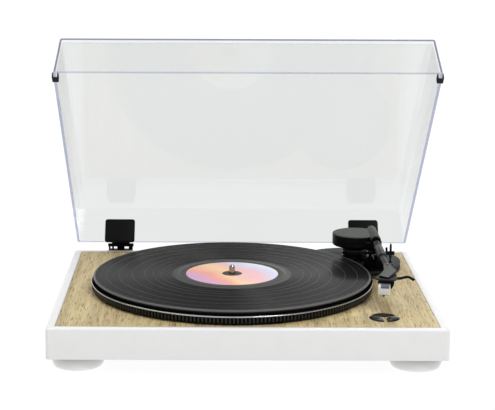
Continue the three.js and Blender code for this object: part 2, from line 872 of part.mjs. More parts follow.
function phonoSocket(x) {
  const y0 = BACK_Y - 9;
  const y1 = BACK_Y + 5.5;
  const barrel = cylinderY(x, y0, y1, 28, 4.1, 20);
  const collar = cylinderY(x, BACK_Y - 0.3, BACK_Y + 1, 28, 4.6, 20);
  const bore = cylinderY(x, y1 - 9, y1 + 1, 28, 1.7, 16);
  return cut(join(barrel, collar), bore);
}

function groundTerminal() {
  const stud = cylinderY(98, BACK_Y - 9, BACK_Y + 7, 28, 1.8, 16);
  const cap = cylinderY(98, BACK_Y + 1, BACK_Y + 6, 28, 4.2, 18);
  return join(stud, cap);
}

function powerInlet() {
  const barrel = cylinderY(134, BACK_Y - 10, BACK_Y - 0.4, 28, 4, 24);
  const well = cylinderY(134, BACK_Y - 8, BACK_Y + 1, 28, 2.9, 24);
  const pin = cylinderY(134, BACK_Y - 9, BACK_Y - 1.6, 28, 0.9, 12);
  return join(cut(barrel, well), pin);
}

// Rocker on a crosswise axle, its face dished in the middle and lying on its "off" side.
function powerSwitch() {
  const body = cylinderX(154.2, 167.8, 0, 0, 4.8, 28);
  const faces = [1, -1].map((side) => {
    const slab = side > 0 ? box(150, 172, 0, 8, 0, 8) : box(150, 172, 0, 8, -8, 0);
    return slab.rotateX(-0.2 * side).translate(0, 1.6, 0);
  });
  const rocker = cut(body, ...faces);
  return rocker.rotateX(-0.12).translate(0, BACK_Y - 3, 28);
}

function circuitBoard() {
  const z0 = 22;
  const sheet = box(40, 172, 96, 150, z0, z0 + 1.6);
  const items = [
    box(60, 76, 120, 136, z0 + 1, z0 + 4),
    box(92, 104, 108, 130, z0 + 1, z0 + 9),
    cylinderZ(118, 138, 4, z0 + 1, z0 + 12, 16),
    cylinderZ(130, 138, 4, z0 + 1, z0 + 12, 16),
    cylinderZ(148, 112, 5, z0 + 1, z0 + 10, 16),
  ];
  return join(sheet, ...items);
}

// ---------------------------------------------------------------- dust cover

// Closed-lid coordinates: `a` forward from the back rim, `b` up from the rim.
// Turns a body drawn closed, with its back rim on the X axis, to the open position.
function opened(geometry) {
  return geometry.rotateX(-OPEN).translate(0, LID.backRimY, LID.backRimZ);
}

function dustCover() {
  const { width, depth, height, draft, wall } = LID;
  const outer = draftedBox(width, depth, height, draft).translate(0, -depth / 2, 0);
  const innerHeight = height - wall;
  const innerDraft = (draft * innerHeight) / height;
  const inner = draftedBox(width - 2 * wall, depth - 2 * wall, innerHeight, innerDraft);
  const lower = box(-width / 2 + wall, width / 2 - wall, -depth / 2 + wall, depth / 2 - wall, -2, 0.01);
  const holes = [];
  for (const side of [-1, 1]) {
    for (const [dx, up] of LID_SCREWS) {
      holes.push(cylinderY(side * LID_HINGE.x + dx, -8, 4, up, 1.6, 10));
    }
  }
  const cavity = join(inner, lower).translate(0, -depth / 2, 0);
  return opened(cut(outer, cavity, ...holes));
}

// Plate on the inside of the back wall that clamps the hinge through it. Its four
// bosses pass through the wall.
const LID_SCREWS = [[-8, 5.7], [8, 5.7], [-8, 22.7], [8, 22.7]];

function leanWithWall(geometry) {
  return geometry.rotateX(Math.atan2(LID.draft, LID.height));
}

function hingePad(side) {
  const { padWidth: w, padHeight: h, padDepth: d } = LID_HINGE;
  const face = roundedRect(w, h, 3);
  const plate = softExtrude(face, 0, d, 0.9, 2, 1);
  plate.rotateX(Math.PI / 2).translate(0, 0, h / 2 - 0.3);
  const toe = box(-30, 30, -12, 0, -6, 0).rotateX(-0.75).translate(0, 1 - d, -0.3);
  const bosses = LID_SCREWS.map(([dx, up]) => cylinderY(dx, -1, 2.6, up, 1.3, 10));
  const shaped = leanWithWall(join(cut(plate, toe), ...bosses));
  return opened(shaped.translate(side * LID_HINGE.x, -LID.wall - GAP, 0));
}

// Outer half of the hinge: thin plate on the wall and two cheeks that hold the pin.
function hingeKnuckle(side) {
  const { behind, up } = LID_HINGE;
  const plate = box(-15, 15, 0, 0.9, 5, 30);
  const parts = [leanWithWall(plate).translate(0, GAP, 0)];
  for (const s of [-1, 1]) {
    const cheek = outline([[-0.6, 13], [7.6, 18], [7.6, 26.6], [-1.9, 28]]);
    const g = new THREE.ExtrudeGeometry(cheek, { depth: 2.6, bevelEnabled: false });
    g.rotateX(Math.PI / 2).rotateZ(Math.PI / 2);
    parts.push(g.translate(s * 12.9 - 1.3, 0, 0));
  }
  parts.push(cylinderX(-13.5, 13.5, behind, up, 1.2, 14));
  return opened(join(...parts).translate(side * LID_HINGE.x, 0, 0));
}

// Fixed half of the hinge: plate on the plinth's back, a shelf out to the pin's line, and a
// pierced blade up to the pin with a thicker cross rib.
function hingeBracket(side) {
  const pin = lidPin();
  const y0 = BACK_Y + GAP;
  const shelfTop = 45.2;
  const parts = [
    box(-14.2, 14.2, y0, y0 + 2.5, 38, 46.7),
    box(-14.2, 14.2, y0 + 1, pin.y + 1.6, 43, shelfTop),
    box(-13, 13, pin.y - 1.6, pin.y + 1.6, 44, 49.8),
    cylinderX(-14.2, 14.2, pin.y, 49.8, 2.9, 20),
    box(-10.8, 10.8, pin.y - 1.8, pin.y + 1.8, 49, pin.z),
    cylinderX(-10.8, 10.8, pin.y, pin.z, 2.9, 20),
  ];
  const eye = cylinderX(-16, 16, pin.y, pin.z, 1.2 + GAP, 14);
  const windows = [[-11.4, -9.8], [-8, -4.2], [4.2, 9]].map(([x0, x1]) =>
    box(x0, x1, pin.y - 3.2, pin.y + 3.2, shelfTop, 48),
  );
  return cut(join(...parts), eye, ...windows).translate(side * LID_HINGE.x, 0, 0);
}

// Where the hinge pin sits once the lid is turned to its open position.
function lidPin() {
  const c = Math.cos(OPEN);
  const s = Math.sin(OPEN);
  const { behind, up } = LID_HINGE;
  return {
    y: LID.backRimY + behind * c + up * s,
    z: LID.backRimZ - behind * s + up * c,
  };
}

// Small rubber clip over the side rim near the front corner.
function rimBumper(side) {
  const x = (side * LID.width) / 2;
  const y = -LID.depth + BUMPER.fromFront;
  const half = BUMPER.length / 2;
  const block = box(-1.6, LID.wall + 2, y - half, y + half, -0.9, 5.6);
  const slot = box(-GAP, LID.wall + GAP + 0.5, y - half - 1, y + half + 1, -GAP, 9);
  const clip = cut(block, slot);
  if (side > 0) {
    clip.rotateZ(Math.PI).translate(0, 2 * y, 0);
  }
  return opened(clip.translate(x, 0, 0));
}

// ---------------------------------------------------------------- assembly

const root = new THREE.Group();
root.name = "record_player";

function add(name, geometry, material) {
  geometry.translate(0, LAYOUT.shiftY, 0);
  const flat = geometry.index ? geometry.toNonIndexed() : geometry;
  flat.computeVertexNormals();
  const mesh = new THREE.Mesh(flat, material.clone());
  mesh.name = name;
  root.add(mesh);
}

add("plinth_shell", plinthShell(), white);
add("deck_panel", deckPanel(), oak);
add("bottom_cover", bottomCover(), board);
for (const [tag, sx, sy] of [["fl", -1, -1], ["fr", 1, -1], ["bl", -1, 1], ["br", 1, 1]]) {
  add(`foot_${tag}`, footBody(sx * FOOT.x, sy * FOOT.y), white);
  add(`foot_pad_${tag}`, footPad(sx * FOOT.x, sy * FOOT.y), rubber);
}

add("spindle_bearing", spindleBearing(), steel);
add("motor", motorCan(), steel);
add("motor_pulley", motorPulley(), cream);
add("drive_belt", driveBelt(), rubber);
add("platter", platterBody(), black);
add("platter_mat", platterMat(), rubber);
add("spindle", spindlePin(), chrome);
add("record", recordDisc(), vinyl);
add("record_label", recordLabel(), paper);

add("tonearm_base", tonearmBase(), graphite);
add("tonearm_column", tonearmColumn(), gloss);
add("pivot_shaft", pivotShaft(), steel);
add("lift_housing", liftHousing(), black);
add("cue_bar", cueBar(), black);
add("rest_post", restPost(), black);
add("rest_clip", restClip(), black);

add("arm_housing", armHousing(), graphite);
add("arm_fork", armFork(), gloss);
add("arm_sleeve", armSleeve(), slate);
add("bearing_ring", bearingRing(), steel);
add("arm_collar", armCollar(), gloss);
add("arm_tube", armTube(), graphite);
add("headshell", headshell(), graphite);
add("cartridge_mount", cartridgeMount(), slate);
add("cartridge", cartridgeBody(), cream);
add("stylus", stylus(), steel);
add("finger_lift", fingerLift(), black);

for (const spot of buttonSpots()) {
  add(`button_${spot.name}`, buttonPetal(spot), gloss);
}
add("button_block", buttonBlock(), black);

add("connector_plate", connectorPlate(), black);
add("phono_socket_left", phonoSocket(66), cream);
add("phono_socket_right", phonoSocket(82), red);
add("ground_terminal", groundTerminal(), steel);
add("power_inlet", powerInlet(), black);
add("power_switch", powerSwitch(), gloss);
add("circuit_board", circuitBoard(), green);

for (const [tag, side] of [["left", -1], ["right", 1]]) {
  add(`hinge_bracket_${tag}`, hingeBracket(side), black);
}
add("dust_cover", dustCover(), clear);
for (const [tag, side] of [["left", -1], ["right", 1]]) {
  add(`hinge_pad_${tag}`, hingePad(side), black);
  add(`hinge_knuckle_${tag}`, hingeKnuckle(side), black);
  add(`rim_bumper_${tag}`, rimBumper(side), rubber);
}

export default root;
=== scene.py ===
import sys
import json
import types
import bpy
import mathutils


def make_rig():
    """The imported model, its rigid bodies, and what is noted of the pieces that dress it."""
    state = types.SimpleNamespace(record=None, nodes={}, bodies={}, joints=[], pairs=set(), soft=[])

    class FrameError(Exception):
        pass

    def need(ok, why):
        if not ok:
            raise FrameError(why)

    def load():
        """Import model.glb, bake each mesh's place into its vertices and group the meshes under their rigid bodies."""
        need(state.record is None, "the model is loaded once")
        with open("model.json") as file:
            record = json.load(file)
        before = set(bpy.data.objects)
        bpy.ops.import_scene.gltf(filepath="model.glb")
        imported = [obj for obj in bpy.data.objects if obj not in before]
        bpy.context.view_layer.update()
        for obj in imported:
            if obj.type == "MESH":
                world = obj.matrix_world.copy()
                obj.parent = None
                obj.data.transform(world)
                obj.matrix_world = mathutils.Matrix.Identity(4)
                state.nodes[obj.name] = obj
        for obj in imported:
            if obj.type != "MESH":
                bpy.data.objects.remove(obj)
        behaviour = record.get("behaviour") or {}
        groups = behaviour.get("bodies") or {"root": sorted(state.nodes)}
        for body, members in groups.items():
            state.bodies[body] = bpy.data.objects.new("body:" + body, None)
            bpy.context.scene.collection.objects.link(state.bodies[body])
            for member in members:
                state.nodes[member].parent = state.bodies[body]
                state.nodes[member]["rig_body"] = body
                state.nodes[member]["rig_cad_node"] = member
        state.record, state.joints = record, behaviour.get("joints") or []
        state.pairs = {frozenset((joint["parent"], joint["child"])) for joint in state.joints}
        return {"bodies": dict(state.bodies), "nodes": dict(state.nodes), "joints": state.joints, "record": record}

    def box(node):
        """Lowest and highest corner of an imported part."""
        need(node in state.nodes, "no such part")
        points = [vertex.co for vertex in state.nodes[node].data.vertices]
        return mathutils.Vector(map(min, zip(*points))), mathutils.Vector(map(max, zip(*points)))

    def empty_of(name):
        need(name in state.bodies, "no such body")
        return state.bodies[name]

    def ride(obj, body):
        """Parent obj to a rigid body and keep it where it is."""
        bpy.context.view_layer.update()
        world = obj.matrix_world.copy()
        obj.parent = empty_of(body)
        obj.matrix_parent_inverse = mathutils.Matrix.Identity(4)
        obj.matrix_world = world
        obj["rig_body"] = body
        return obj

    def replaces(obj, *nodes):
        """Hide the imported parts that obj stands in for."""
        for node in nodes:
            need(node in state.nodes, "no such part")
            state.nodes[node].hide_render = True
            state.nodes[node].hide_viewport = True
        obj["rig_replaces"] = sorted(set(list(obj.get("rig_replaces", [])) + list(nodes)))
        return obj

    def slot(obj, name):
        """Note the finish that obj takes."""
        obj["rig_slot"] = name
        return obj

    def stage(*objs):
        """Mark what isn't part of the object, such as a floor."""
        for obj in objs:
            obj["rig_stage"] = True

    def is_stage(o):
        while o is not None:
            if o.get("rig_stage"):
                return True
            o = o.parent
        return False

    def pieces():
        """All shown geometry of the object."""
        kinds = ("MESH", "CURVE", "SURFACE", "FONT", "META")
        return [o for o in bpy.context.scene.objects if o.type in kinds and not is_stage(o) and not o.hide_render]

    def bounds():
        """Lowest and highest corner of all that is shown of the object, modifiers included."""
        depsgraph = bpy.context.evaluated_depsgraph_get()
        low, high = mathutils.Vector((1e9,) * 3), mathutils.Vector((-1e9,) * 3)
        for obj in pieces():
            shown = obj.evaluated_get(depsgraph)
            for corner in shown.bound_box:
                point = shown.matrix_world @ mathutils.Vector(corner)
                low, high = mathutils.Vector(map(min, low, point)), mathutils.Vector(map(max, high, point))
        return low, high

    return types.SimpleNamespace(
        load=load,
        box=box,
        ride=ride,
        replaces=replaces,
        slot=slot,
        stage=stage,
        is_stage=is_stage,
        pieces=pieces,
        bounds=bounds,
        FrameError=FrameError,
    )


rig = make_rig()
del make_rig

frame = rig.load()

import json
from math import acos, atan2, cos, hypot, pi, radians, sin, sqrt, tan, tau

import bmesh
import bpy
from bpy.props import FloatProperty, FloatVectorProperty, IntProperty, PointerProperty
from mathutils import Matrix, Vector

bl_info = {
    "name": "Record Player",
    "version": (1, 0, 0),
    "blender": (4, 5, 0),
    "location": "View3D > Sidebar > Record Player",
    "description": "Belt-drive record player with an open clear cover",
    "category": "Object",
}

MM = 0.001
CAD_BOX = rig.bounds()
JOINTS = {joint["name"]: joint for joint in frame["joints"]}


def low(node):
    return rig.box(node)[0] / MM


def high(node):
    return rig.box(node)[1] / MM


def middle(node):
    return (low(node) + high(node)) / 2


# Places in millimetres, all from the solid model.
MID_Y = middle("plinth_shell").y
DECK = high("deck_panel").z
DISC = middle("record")
DISC_TOP = high("record").z
PIVOT, TILT, LID_PIN = (Vector(JOINTS[name]["pos_m"]) / MM for name in ("arm_swing", "arm_tilt", "lid_hinge"))
OPEN = radians(JOINTS["lid_hinge"]["range_deg"][1])

# Pieces are drawn with Y counted from the middle of the plinth, and PLAN puts them in place.
PLAN = Matrix.Translation((0, MID_Y, 0))
SPIN = (DISC.x, DISC.y - MID_Y)
POST = (PIVOT.x, PIVOT.y - MID_Y)
AXIS = (TILT.x, TILT.z)
TILT_Y = TILT.y - MID_Y
REAR = high("plinth_shell").y - MID_Y

# The headshell's own frame: its neck at the origin, turned towards the record.
HEAD = Matrix.Translation((AXIS[0], -56, 0)) @ Matrix.Rotation(radians(-10), 4, "Z")
REAR_AXIS = (149.4, 84.7)
BUTTON_AT = (139.3, -125.4)
PETALS = {"back": 90, "left": 210, "right": 330}
# How far each button's stem stands from BUTTON_AT.
STEM_REACH = 8.2
LIFT_AT = (142, 48)
# The rear panel: the height of its middle line, and what stands on it.
SOCKET_Z = 28
JACKS = {"left": 66, "right": 82}
GROUND_X, INLET_X = 98, 134
HINGE_X = 145.6
HINGE_SCREWS = ((-8, 5.7), (8, 5.7), (-8, 22.7), (8, 22.7))
HINGE_SCREW = {"radius": 0.0026, "height": 0.001, "cut": 0.0007}

# The cover's own frame: X along the hinge, -Y forward from its back rim, Z up from its rim.
# The hinge pin stands RIM_BEHIND the rim and RIM_UNDER above it. The walls lean in by the draft.
RIM_BEHIND, RIM_UNDER = 4.0, 23.9
COVER_HEIGHT, COVER_DRAFT = 45.5, 4.16
LID = (
    Matrix.Translation(LID_PIN)
    @ Matrix.Rotation(-OPEN, 4, "X")
    @ Matrix.Translation((0, -RIM_BEHIND, -RIM_UNDER))
)

IDENTITY = Matrix.Identity(4)
AXES = {
    "X": Matrix(((0, 0, 1), (1, 0, 0), (0, 1, 0))).to_4x4(),
    "Y": Matrix(((0, 1, 0), (0, 0, 1), (1, 0, 0))).to_4x4(),
    "Z": IDENTITY,
}
# A flat drawing stood up on its lower side: facing the front, the back, and the back in mirror image.
FRONTWARD = Matrix(((1, 0, 0), (0, 0, -1), (0, 1, 0))).to_4x4()
BACKWARD = Matrix(((-1, 0, 0), (0, 0, 1), (0, 1, 0))).to_4x4()
MIRRORED = Matrix(((1, 0, 0), (0, 0, 1), (0, 1, 0))).to_4x4()


# ------------------------------------------------------------------ mesh tools


def polar(radius, a, x=0.0, y=0.0):
    """The point at angle a, in radians, on a circle about (x, y)."""
    return x + radius * cos(a), y + radius * sin(a)


def rounded(points, closed=True, steps=4):
    """A polyline of (u, v) or (u, v, fillet) points, its corners rounded by their fillets."""
    out = []
    count = len(points)
    for i, point in enumerate(points):
        here = Vector(point[:2])
        fillet = point[2] if len(point) > 2 else 0
        end = not closed and i in (0, count - 1)
        if fillet <= 0 or end:
            out.append((here.x, here.y))
            continue
        back = Vector(points[i - 1][:2]) - here
        on = Vector(points[(i + 1) % count][:2]) - here
        half = back.angle(on) / 2
        reach = min(fillet / tan(half), 0.49 * back.length, 0.49 * on.length)
        radius = reach * tan(half)
        back, on = back.normalized(), on.normalized()
        centre = here + (back + on).normalized() * (radius / sin(half))
        start = here + back * reach - centre
        finish = here + on * reach - centre
        turn = start.angle_signed(finish)
        for k in range(steps + 1):
            arm = start.copy()
            arm.rotate(Matrix.Rotation(-turn * k / steps, 2))
            out.append(tuple(centre + arm))
    return out


def ring_points(x, y, radius, start=0.0, end=360.0, steps=64):
    """Points round an arc, in degrees. A full circle leaves its last point out."""
    count = steps if abs(end - start) >= 360 else steps + 1
    return [polar(radius, radians(start + (end - start) * k / steps), x, y) for k in range(count)]


def rect(x0, x1, y0, y1, corner=0.0, steps=6):
    return rounded([(x0, y0, corner), (x1, y0, corner), (x1, y1, corner), (x0, y1, corner)], True, steps)


def absorb(bm, part, matrix=IDENTITY, finish=0):
    """Adds a part, moved by matrix, and frees it. With finish None it keeps its own finishes."""
    start, faces = len(bm.verts), len(bm.faces)
    mesh = bpy.data.meshes.new("part")
    part.to_mesh(mesh)
    part.free()
    bm.from_mesh(mesh)
    bpy.data.meshes.remove(mesh)
    bm.verts.ensure_lookup_table()
    bm.faces.ensure_lookup_table()
    bmesh.ops.transform(bm, matrix=matrix, verts=bm.verts[start:])
    for face in bm.faces[faces:] if finish is not None else ():
        face.material_index = finish


def skin(part, rings, ends=(0, -1)):
    """Joins rings of equal count by four-sided faces and closes the end rings."""
    for a, b in zip(rings, rings[1:]):
        for k in range(len(a)):
            n = (k + 1) % len(a)
            part.faces.new([a[k], a[n], b[n], b[k]])
    for end in ends:
        part.faces.new(rings[end])


def lathe(bm, profile, centre=(0, 0, 0), steps=96, axis="Z", finish=0, matrix=IDENTITY):
    """Turns (radius, height) points about an axis through centre. Radius 0 makes a pole."""
    part = bmesh.new()
    rings = []
    for r, h in profile:
        if r < 1e-6:
            rings.append([part.verts.new((0, 0, h))])
        else:
            rings.append([part.verts.new((*polar(r, tau * k / steps), h)) for k in range(steps)])
    pairs = list(zip(rings, rings[1:]))
    if len(rings[0]) > 1 or len(rings[-1]) > 1:
        pairs.append((rings[-1], rings[0]))
    for a, b in pairs:
        for k in range(steps):
            n = (k + 1) % steps
            corners = list(dict.fromkeys([a[k % len(a)], a[n % len(a)], b[n % len(b)], b[k % len(b)]]))
            if len(corners) > 2:
                part.faces.new(corners)
    absorb(bm, part, matrix @ Matrix.Translation(Vector(centre)) @ AXES[axis], finish)


def rod(bm, centre, radius, start, end, axis, steps=48, edge=0.3, finish=0, matrix=IDENTITY):
    """A round bar along an axis, from start to end on it, with softened ends."""
    profile = rounded([(0, start), (radius, start, edge), (radius, end, edge), (0, end)], False, 3)
    place = list(centre)
    place["XYZ".index(axis)] = 0
    lathe(bm, profile, place, steps, axis, finish, matrix)


def plate(bm, rings, z0, z1, edge=0.2, steps=2, finish=0, matrix=IDENTITY):
    """A flat plate from z0 to z1 with the outline rings[0] and the holes in the others."""
    curve = bpy.data.curves.new("plate", "CURVE")
    curve.dimensions = "2D"
    curve.fill_mode = "BOTH"
    curve.extrude = (z1 - z0) / 2 - edge
    curve.bevel_depth = edge
    curve.bevel_resolution = steps
    curve.offset = -edge
    for ring in rings:
        spline = curve.splines.new("POLY")
        spline.points.add(len(ring) - 1)
        for point, (x, y) in zip(spline.points, ring):
            point.co = (x, y, 0, 1)
        spline.use_cyclic_u = True
    holder = bpy.data.objects.new("plate", curve)
    mesh = bpy.data.meshes.new_from_object(holder)
    bpy.data.objects.remove(holder)
    bpy.data.curves.remove(curve)
    part = bmesh.new()
    part.from_mesh(mesh)
    bpy.data.meshes.remove(mesh)
    bmesh.ops.remove_doubles(part, verts=part.verts, dist=1e-4)
    absorb(bm, part, matrix @ Matrix.Translation((0, 0, (z0 + z1) / 2)), finish)


def block(bm, lo, hi, edge=0.4, steps=2, finish=0, matrix=IDENTITY):
    """A box between two corners with softened edges."""
    part = bmesh.new()
    bmesh.ops.create_cube(part, size=1)
    lo, hi = Vector(lo), Vector(hi)
    size = hi - lo
    for v in part.verts:
        v.co = lo + Vector(((v.co.x + 0.5) * size.x, (v.co.y + 0.5) * size.y, (v.co.z + 0.5) * size.z))
    if edge > 0:
        bmesh.ops.bevel(part, geom=part.edges[:], offset=edge, segments=steps, profile=0.5, affect="EDGES")
    absorb(bm, part, matrix, finish)


def swept(bm, path, section, taper, matrix=IDENTITY):
    """Carries a closed section of (side, up) points along a path, scaled by taper, with closed ends."""
    part = bmesh.new()
    rings = []
    last = len(path) - 1
    for i, p in enumerate(path):
        along = (path[min(i + 1, last)] - path[max(i - 1, 0)]).normalized()
        side = along.cross(Vector((0, 0, 1))).normalized()
        rise = side.cross(along)
        k = taper(i / last)
        rings.append([part.verts.new(p + side * (s * k) + rise * (u * k)) for s, u in section])
    skin(part, rings)
    absorb(bm, part, matrix)


def smooth_path(points, steps=8):
    """A Catmull-Rom curve through the points."""
    pts = [Vector(p) for p in points]
    pts = [pts[0] * 2 - pts[1]] + pts + [pts[-1] * 2 - pts[-2]]
    out = []
    for i in range(1, len(pts) - 2):
        p0, p1, p2, p3 = pts[i - 1 : i + 3]
        for k in range(steps):
            t = k / steps
            a = 2 * p1 + (p2 - p0) * t
            b = (2 * p0 - 5 * p1 + 4 * p2 - p3) * t * t
            c = (3 * p1 - p0 - 3 * p2 + p3) * t * t * t
            out.append((a + b + c) / 2)
    out.append(pts[-2])
    return out


def linked(name, data):
    """A new object in the scene."""
    obj = bpy.data.objects.new(name, data)
    bpy.context.scene.collection.objects.link(obj)
    return obj


def baked(obj):
    """The plain mesh of an object with its modifiers applied."""
    bpy.context.view_layer.update()
    return bpy.data.meshes.new_from_object(obj.evaluated_get(bpy.context.evaluated_depsgraph_get()))


def carve(bm, tools, bevel=0.0):
    """Cuts a closed bmesh by others in turn, optionally softening the edges. Gives a new bmesh."""
    result = bm
    for tool in tools:
        pair = []
        for shape in (result, tool):
            bmesh.ops.recalc_face_normals(shape, faces=shape.faces)
            mesh = bpy.data.meshes.new("cut")
            shape.to_mesh(mesh)
            shape.free()
            pair.append(linked("cut", mesh))
        cutter = pair[0].modifiers.new("cut", "BOOLEAN")
        cutter.operation = "DIFFERENCE"
        cutter.solver = "EXACT"
        cutter.object = pair[1]
        if bevel and tool is tools[-1]:
            soft = pair[0].modifiers.new("soft", "BEVEL")
            soft.width = bevel
            soft.segments = 3
            soft.limit_method = "ANGLE"
            soft.angle_limit = radians(34)
        mesh = baked(pair[0])
        result = bmesh.new()
        result.from_mesh(mesh)
        for obj in pair:
            old = obj.data
            bpy.data.objects.remove(obj)
            bpy.data.meshes.remove(old)
        bpy.data.meshes.remove(mesh)
    return result


def piece(name, bm, body, slot, finishes, nodes=(), angle=32, place=PLAN):
    """Makes the finished object, in metres, that rides on a body and stands for its solids."""
    bmesh.ops.transform(bm, matrix=Matrix.Scale(MM, 4) @ place, verts=bm.verts)
    bmesh.ops.remove_doubles(bm, verts=bm.verts, dist=2e-7)
    bmesh.ops.dissolve_degenerate(bm, edges=bm.edges, dist=1e-8)
    bmesh.ops.recalc_face_normals(bm, faces=bm.faces)
    mesh = bpy.data.meshes.new(name)
    bm.to_mesh(mesh)
    bm.free()
    dress(linked(name, mesh), body, slot, finishes, nodes, angle)


def dress(obj, body, slot, finishes=(), nodes=(), angle=32):
    for finish in finishes:
        obj.data.materials.append(FINISHES[finish])
    obj.data.shade_smooth()
    obj.data.set_sharp_from_angle(angle=radians(angle))
    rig.ride(obj, body)
    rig.slot(obj, slot)
    if nodes:
        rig.replaces(obj, *nodes)


# ------------------------------------------------------------------ node trees


class Wiring:
    """Short calls for a node tree. An input takes a plain value or another node's output."""

    def __init__(self, tree):
        self.tree = tree

    def feed(self, socket, value):
        if isinstance(value, bpy.types.NodeSocket):
            self.tree.links.new(value, socket)
        else:
            socket.default_value = value

    def new(self, kind, inputs=(), **settings):
        node = self.tree.nodes.new(kind)
        for key, value in settings.items():
            setattr(node, key, value)
        for key, value in dict(inputs).items():
            self.feed(node.inputs[key], value)
        return node

    def maths(self, operation, a, b):
        return self.new("ShaderNodeMath", {0: a, 1: b}, operation=operation).outputs[0]

    def sum(self, a, b):
        return self.maths("ADD", a, b)

    def times(self, a, b):
        return self.maths("MULTIPLY", a, b)

    def split(self, vector):
        return self.new("ShaderNodeSeparateXYZ", {0: vector}).outputs

    def spread(self, value, to_low, to_high, from_low=0.3, from_high=0.7):
        """Carries a value from one range to another and holds it at the ends."""
        limits = {"From Min": from_low, "From Max": from_high, "To Min": to_low, "To Max": to_high}
        return self.new("ShaderNodeMapRange", {"Value": value, **limits}).outputs["Result"]


class Finish(Wiring):
    """A material, with short calls for the nodes that its patterns use."""

    def __init__(self, name):
        self.material = bpy.data.materials.new(name)
        self.material.use_nodes = True
        super().__init__(self.material.node_tree)
        self.shader = self.tree.nodes["Principled BSDF"]

    def set(self, **values):
        """Feeds the shader's inputs, whose names are written in lower case with underscores."""
        for key, value in values.items():
            self.feed(self.shader.inputs[key.replace("_", " ").title().replace("Ior", "IOR")], value)

    def coords(self, scale=(1, 1, 1), centre=(0, 0, 0)):
        source = self.new("ShaderNodeTexCoord").outputs["Object"]
        shift = [-c * s for c, s in zip(centre, scale)]
        inputs = {"Vector": source, "Location": shift, "Scale": scale}
        return self.new("ShaderNodeMapping", inputs).outputs["Vector"]

    def noise(self, vector, scale, detail=3.0, rough=0.55, distortion=0.0):
        pattern = {"Scale": scale, "Detail": detail, "Roughness": rough, "Distortion": distortion}
        return self.new("ShaderNodeTexNoise", {"Vector": vector, **pattern}).outputs["Fac"]

    def ramp(self, fac, stops):
        node = self.new("ShaderNodeValToRGB", {"Fac": fac})
        elements = node.color_ramp.elements
        while len(elements) < len(stops):
            elements.new(0.5)
        for element, (place, colour) in zip(elements, stops):
            element.position = place
            element.color = (*colour, 1)
        return node.outputs["Color"]

    def scaled(self, colour, factor):
        node = self.new("ShaderNodeVectorMath", {0: colour, "Scale": factor}, operation="SCALE")
        return node.outputs["Vector"]

    def blend(self, fac, a, b):
        node = self.new("ShaderNodeMix", data_type="RGBA")
        sockets = {socket.identifier: socket for socket in node.inputs}
        self.feed(sockets["Factor_Float"], fac)
        for key, value in (("A_Color", a), ("B_Color", b)):
            self.feed(sockets[key], value if isinstance(value, bpy.types.NodeSocket) else (*value, 1))
        return next(socket for socket in node.outputs if socket.identifier == "Result_Color")

    def bump(self, height, distance, strength=1.0):
        inputs = {"Height": height, "Distance": distance, "Strength": strength}
        return self.new("ShaderNodeBump", inputs).outputs["Normal"]

    def mixed(self, fac, a, b):
        """Mixes two shaders."""
        return self.new("ShaderNodeMixShader", {"Fac": fac, 1: a.outputs[0], 2: b.outputs[0]})


# ------------------------------------------------------------------ finishes

MOTTLE_SCALE = 55
COAT_ROUGHNESS = 0.08
# The scale of a brushed pattern along its lines, where it is 1 across them.
LINE_STRETCH = 0.02


def grained(name, colour, rough, grain=0.0, grain_scale=900.0, coat=0.0, speck=0.04, specular=0.5):
    """Moulded or painted finish: faint mottling in colour and gloss, with a fine grain."""
    n = Finish(name)
    where = n.coords()
    mottled = n.spread(n.noise(where, MOTTLE_SCALE, 2), 1 - speck, 1 + speck)
    fine = n.noise(where, grain_scale, 2)
    n.set(base_color=n.scaled(colour, mottled), roughness=n.spread(fine, rough * 0.88, min(1.0, rough * 1.12)))
    n.set(coat_weight=coat, coat_roughness=COAT_ROUGHNESS, specular_ior_level=specular)
    if grain:
        n.set(normal=n.bump(fine, grain * MM))
    return n.material


def brushed(name, colour, rough, along="Z", scale=1200.0):
    """Metal with fine lines that run along one axis."""
    n = Finish(name)
    lines = n.noise(n.coords([LINE_STRETCH if axis == along else 1 for axis in "XYZ"]), scale, 2)
    n.set(
        metallic=1.0,
        base_color=n.ramp(lines, [(0.3, [c * 0.82 for c in colour]), (0.7, colour)]),
        roughness=n.spread(lines, rough * 0.75, rough * 1.3),
        normal=n.bump(lines, 0.01 * MM),
    )
    return n.material


def foot_finish(settings):
    """Glossy moulded white with painted shade: darker towards the top, where the plinth shades the feet."""
    n = Finish("white_gloss")
    mottled = n.noise(n.coords(), MOTTLE_SCALE, 2)
    # Painted shade: 0 near the floor, 1 at 14 mm up, where the white is painted down to about half its brightness.
    joint = n.spread(n.split(n.coords())["Z"], 0.0, 1.0, 1.5 * MM, 14 * MM)
    dull = n.times(joint, n.spread(mottled, 0.96, 1.0))
    bright, dim = ([c * k for c in settings.white] for k in (1.08, 0.56))
    n.set(base_color=n.blend(dull, bright, dim), roughness=n.spread(mottled, 0.18, 0.22))
    n.set(coat_weight=0.25, coat_roughness=COAT_ROUGHNESS)
    return n.material


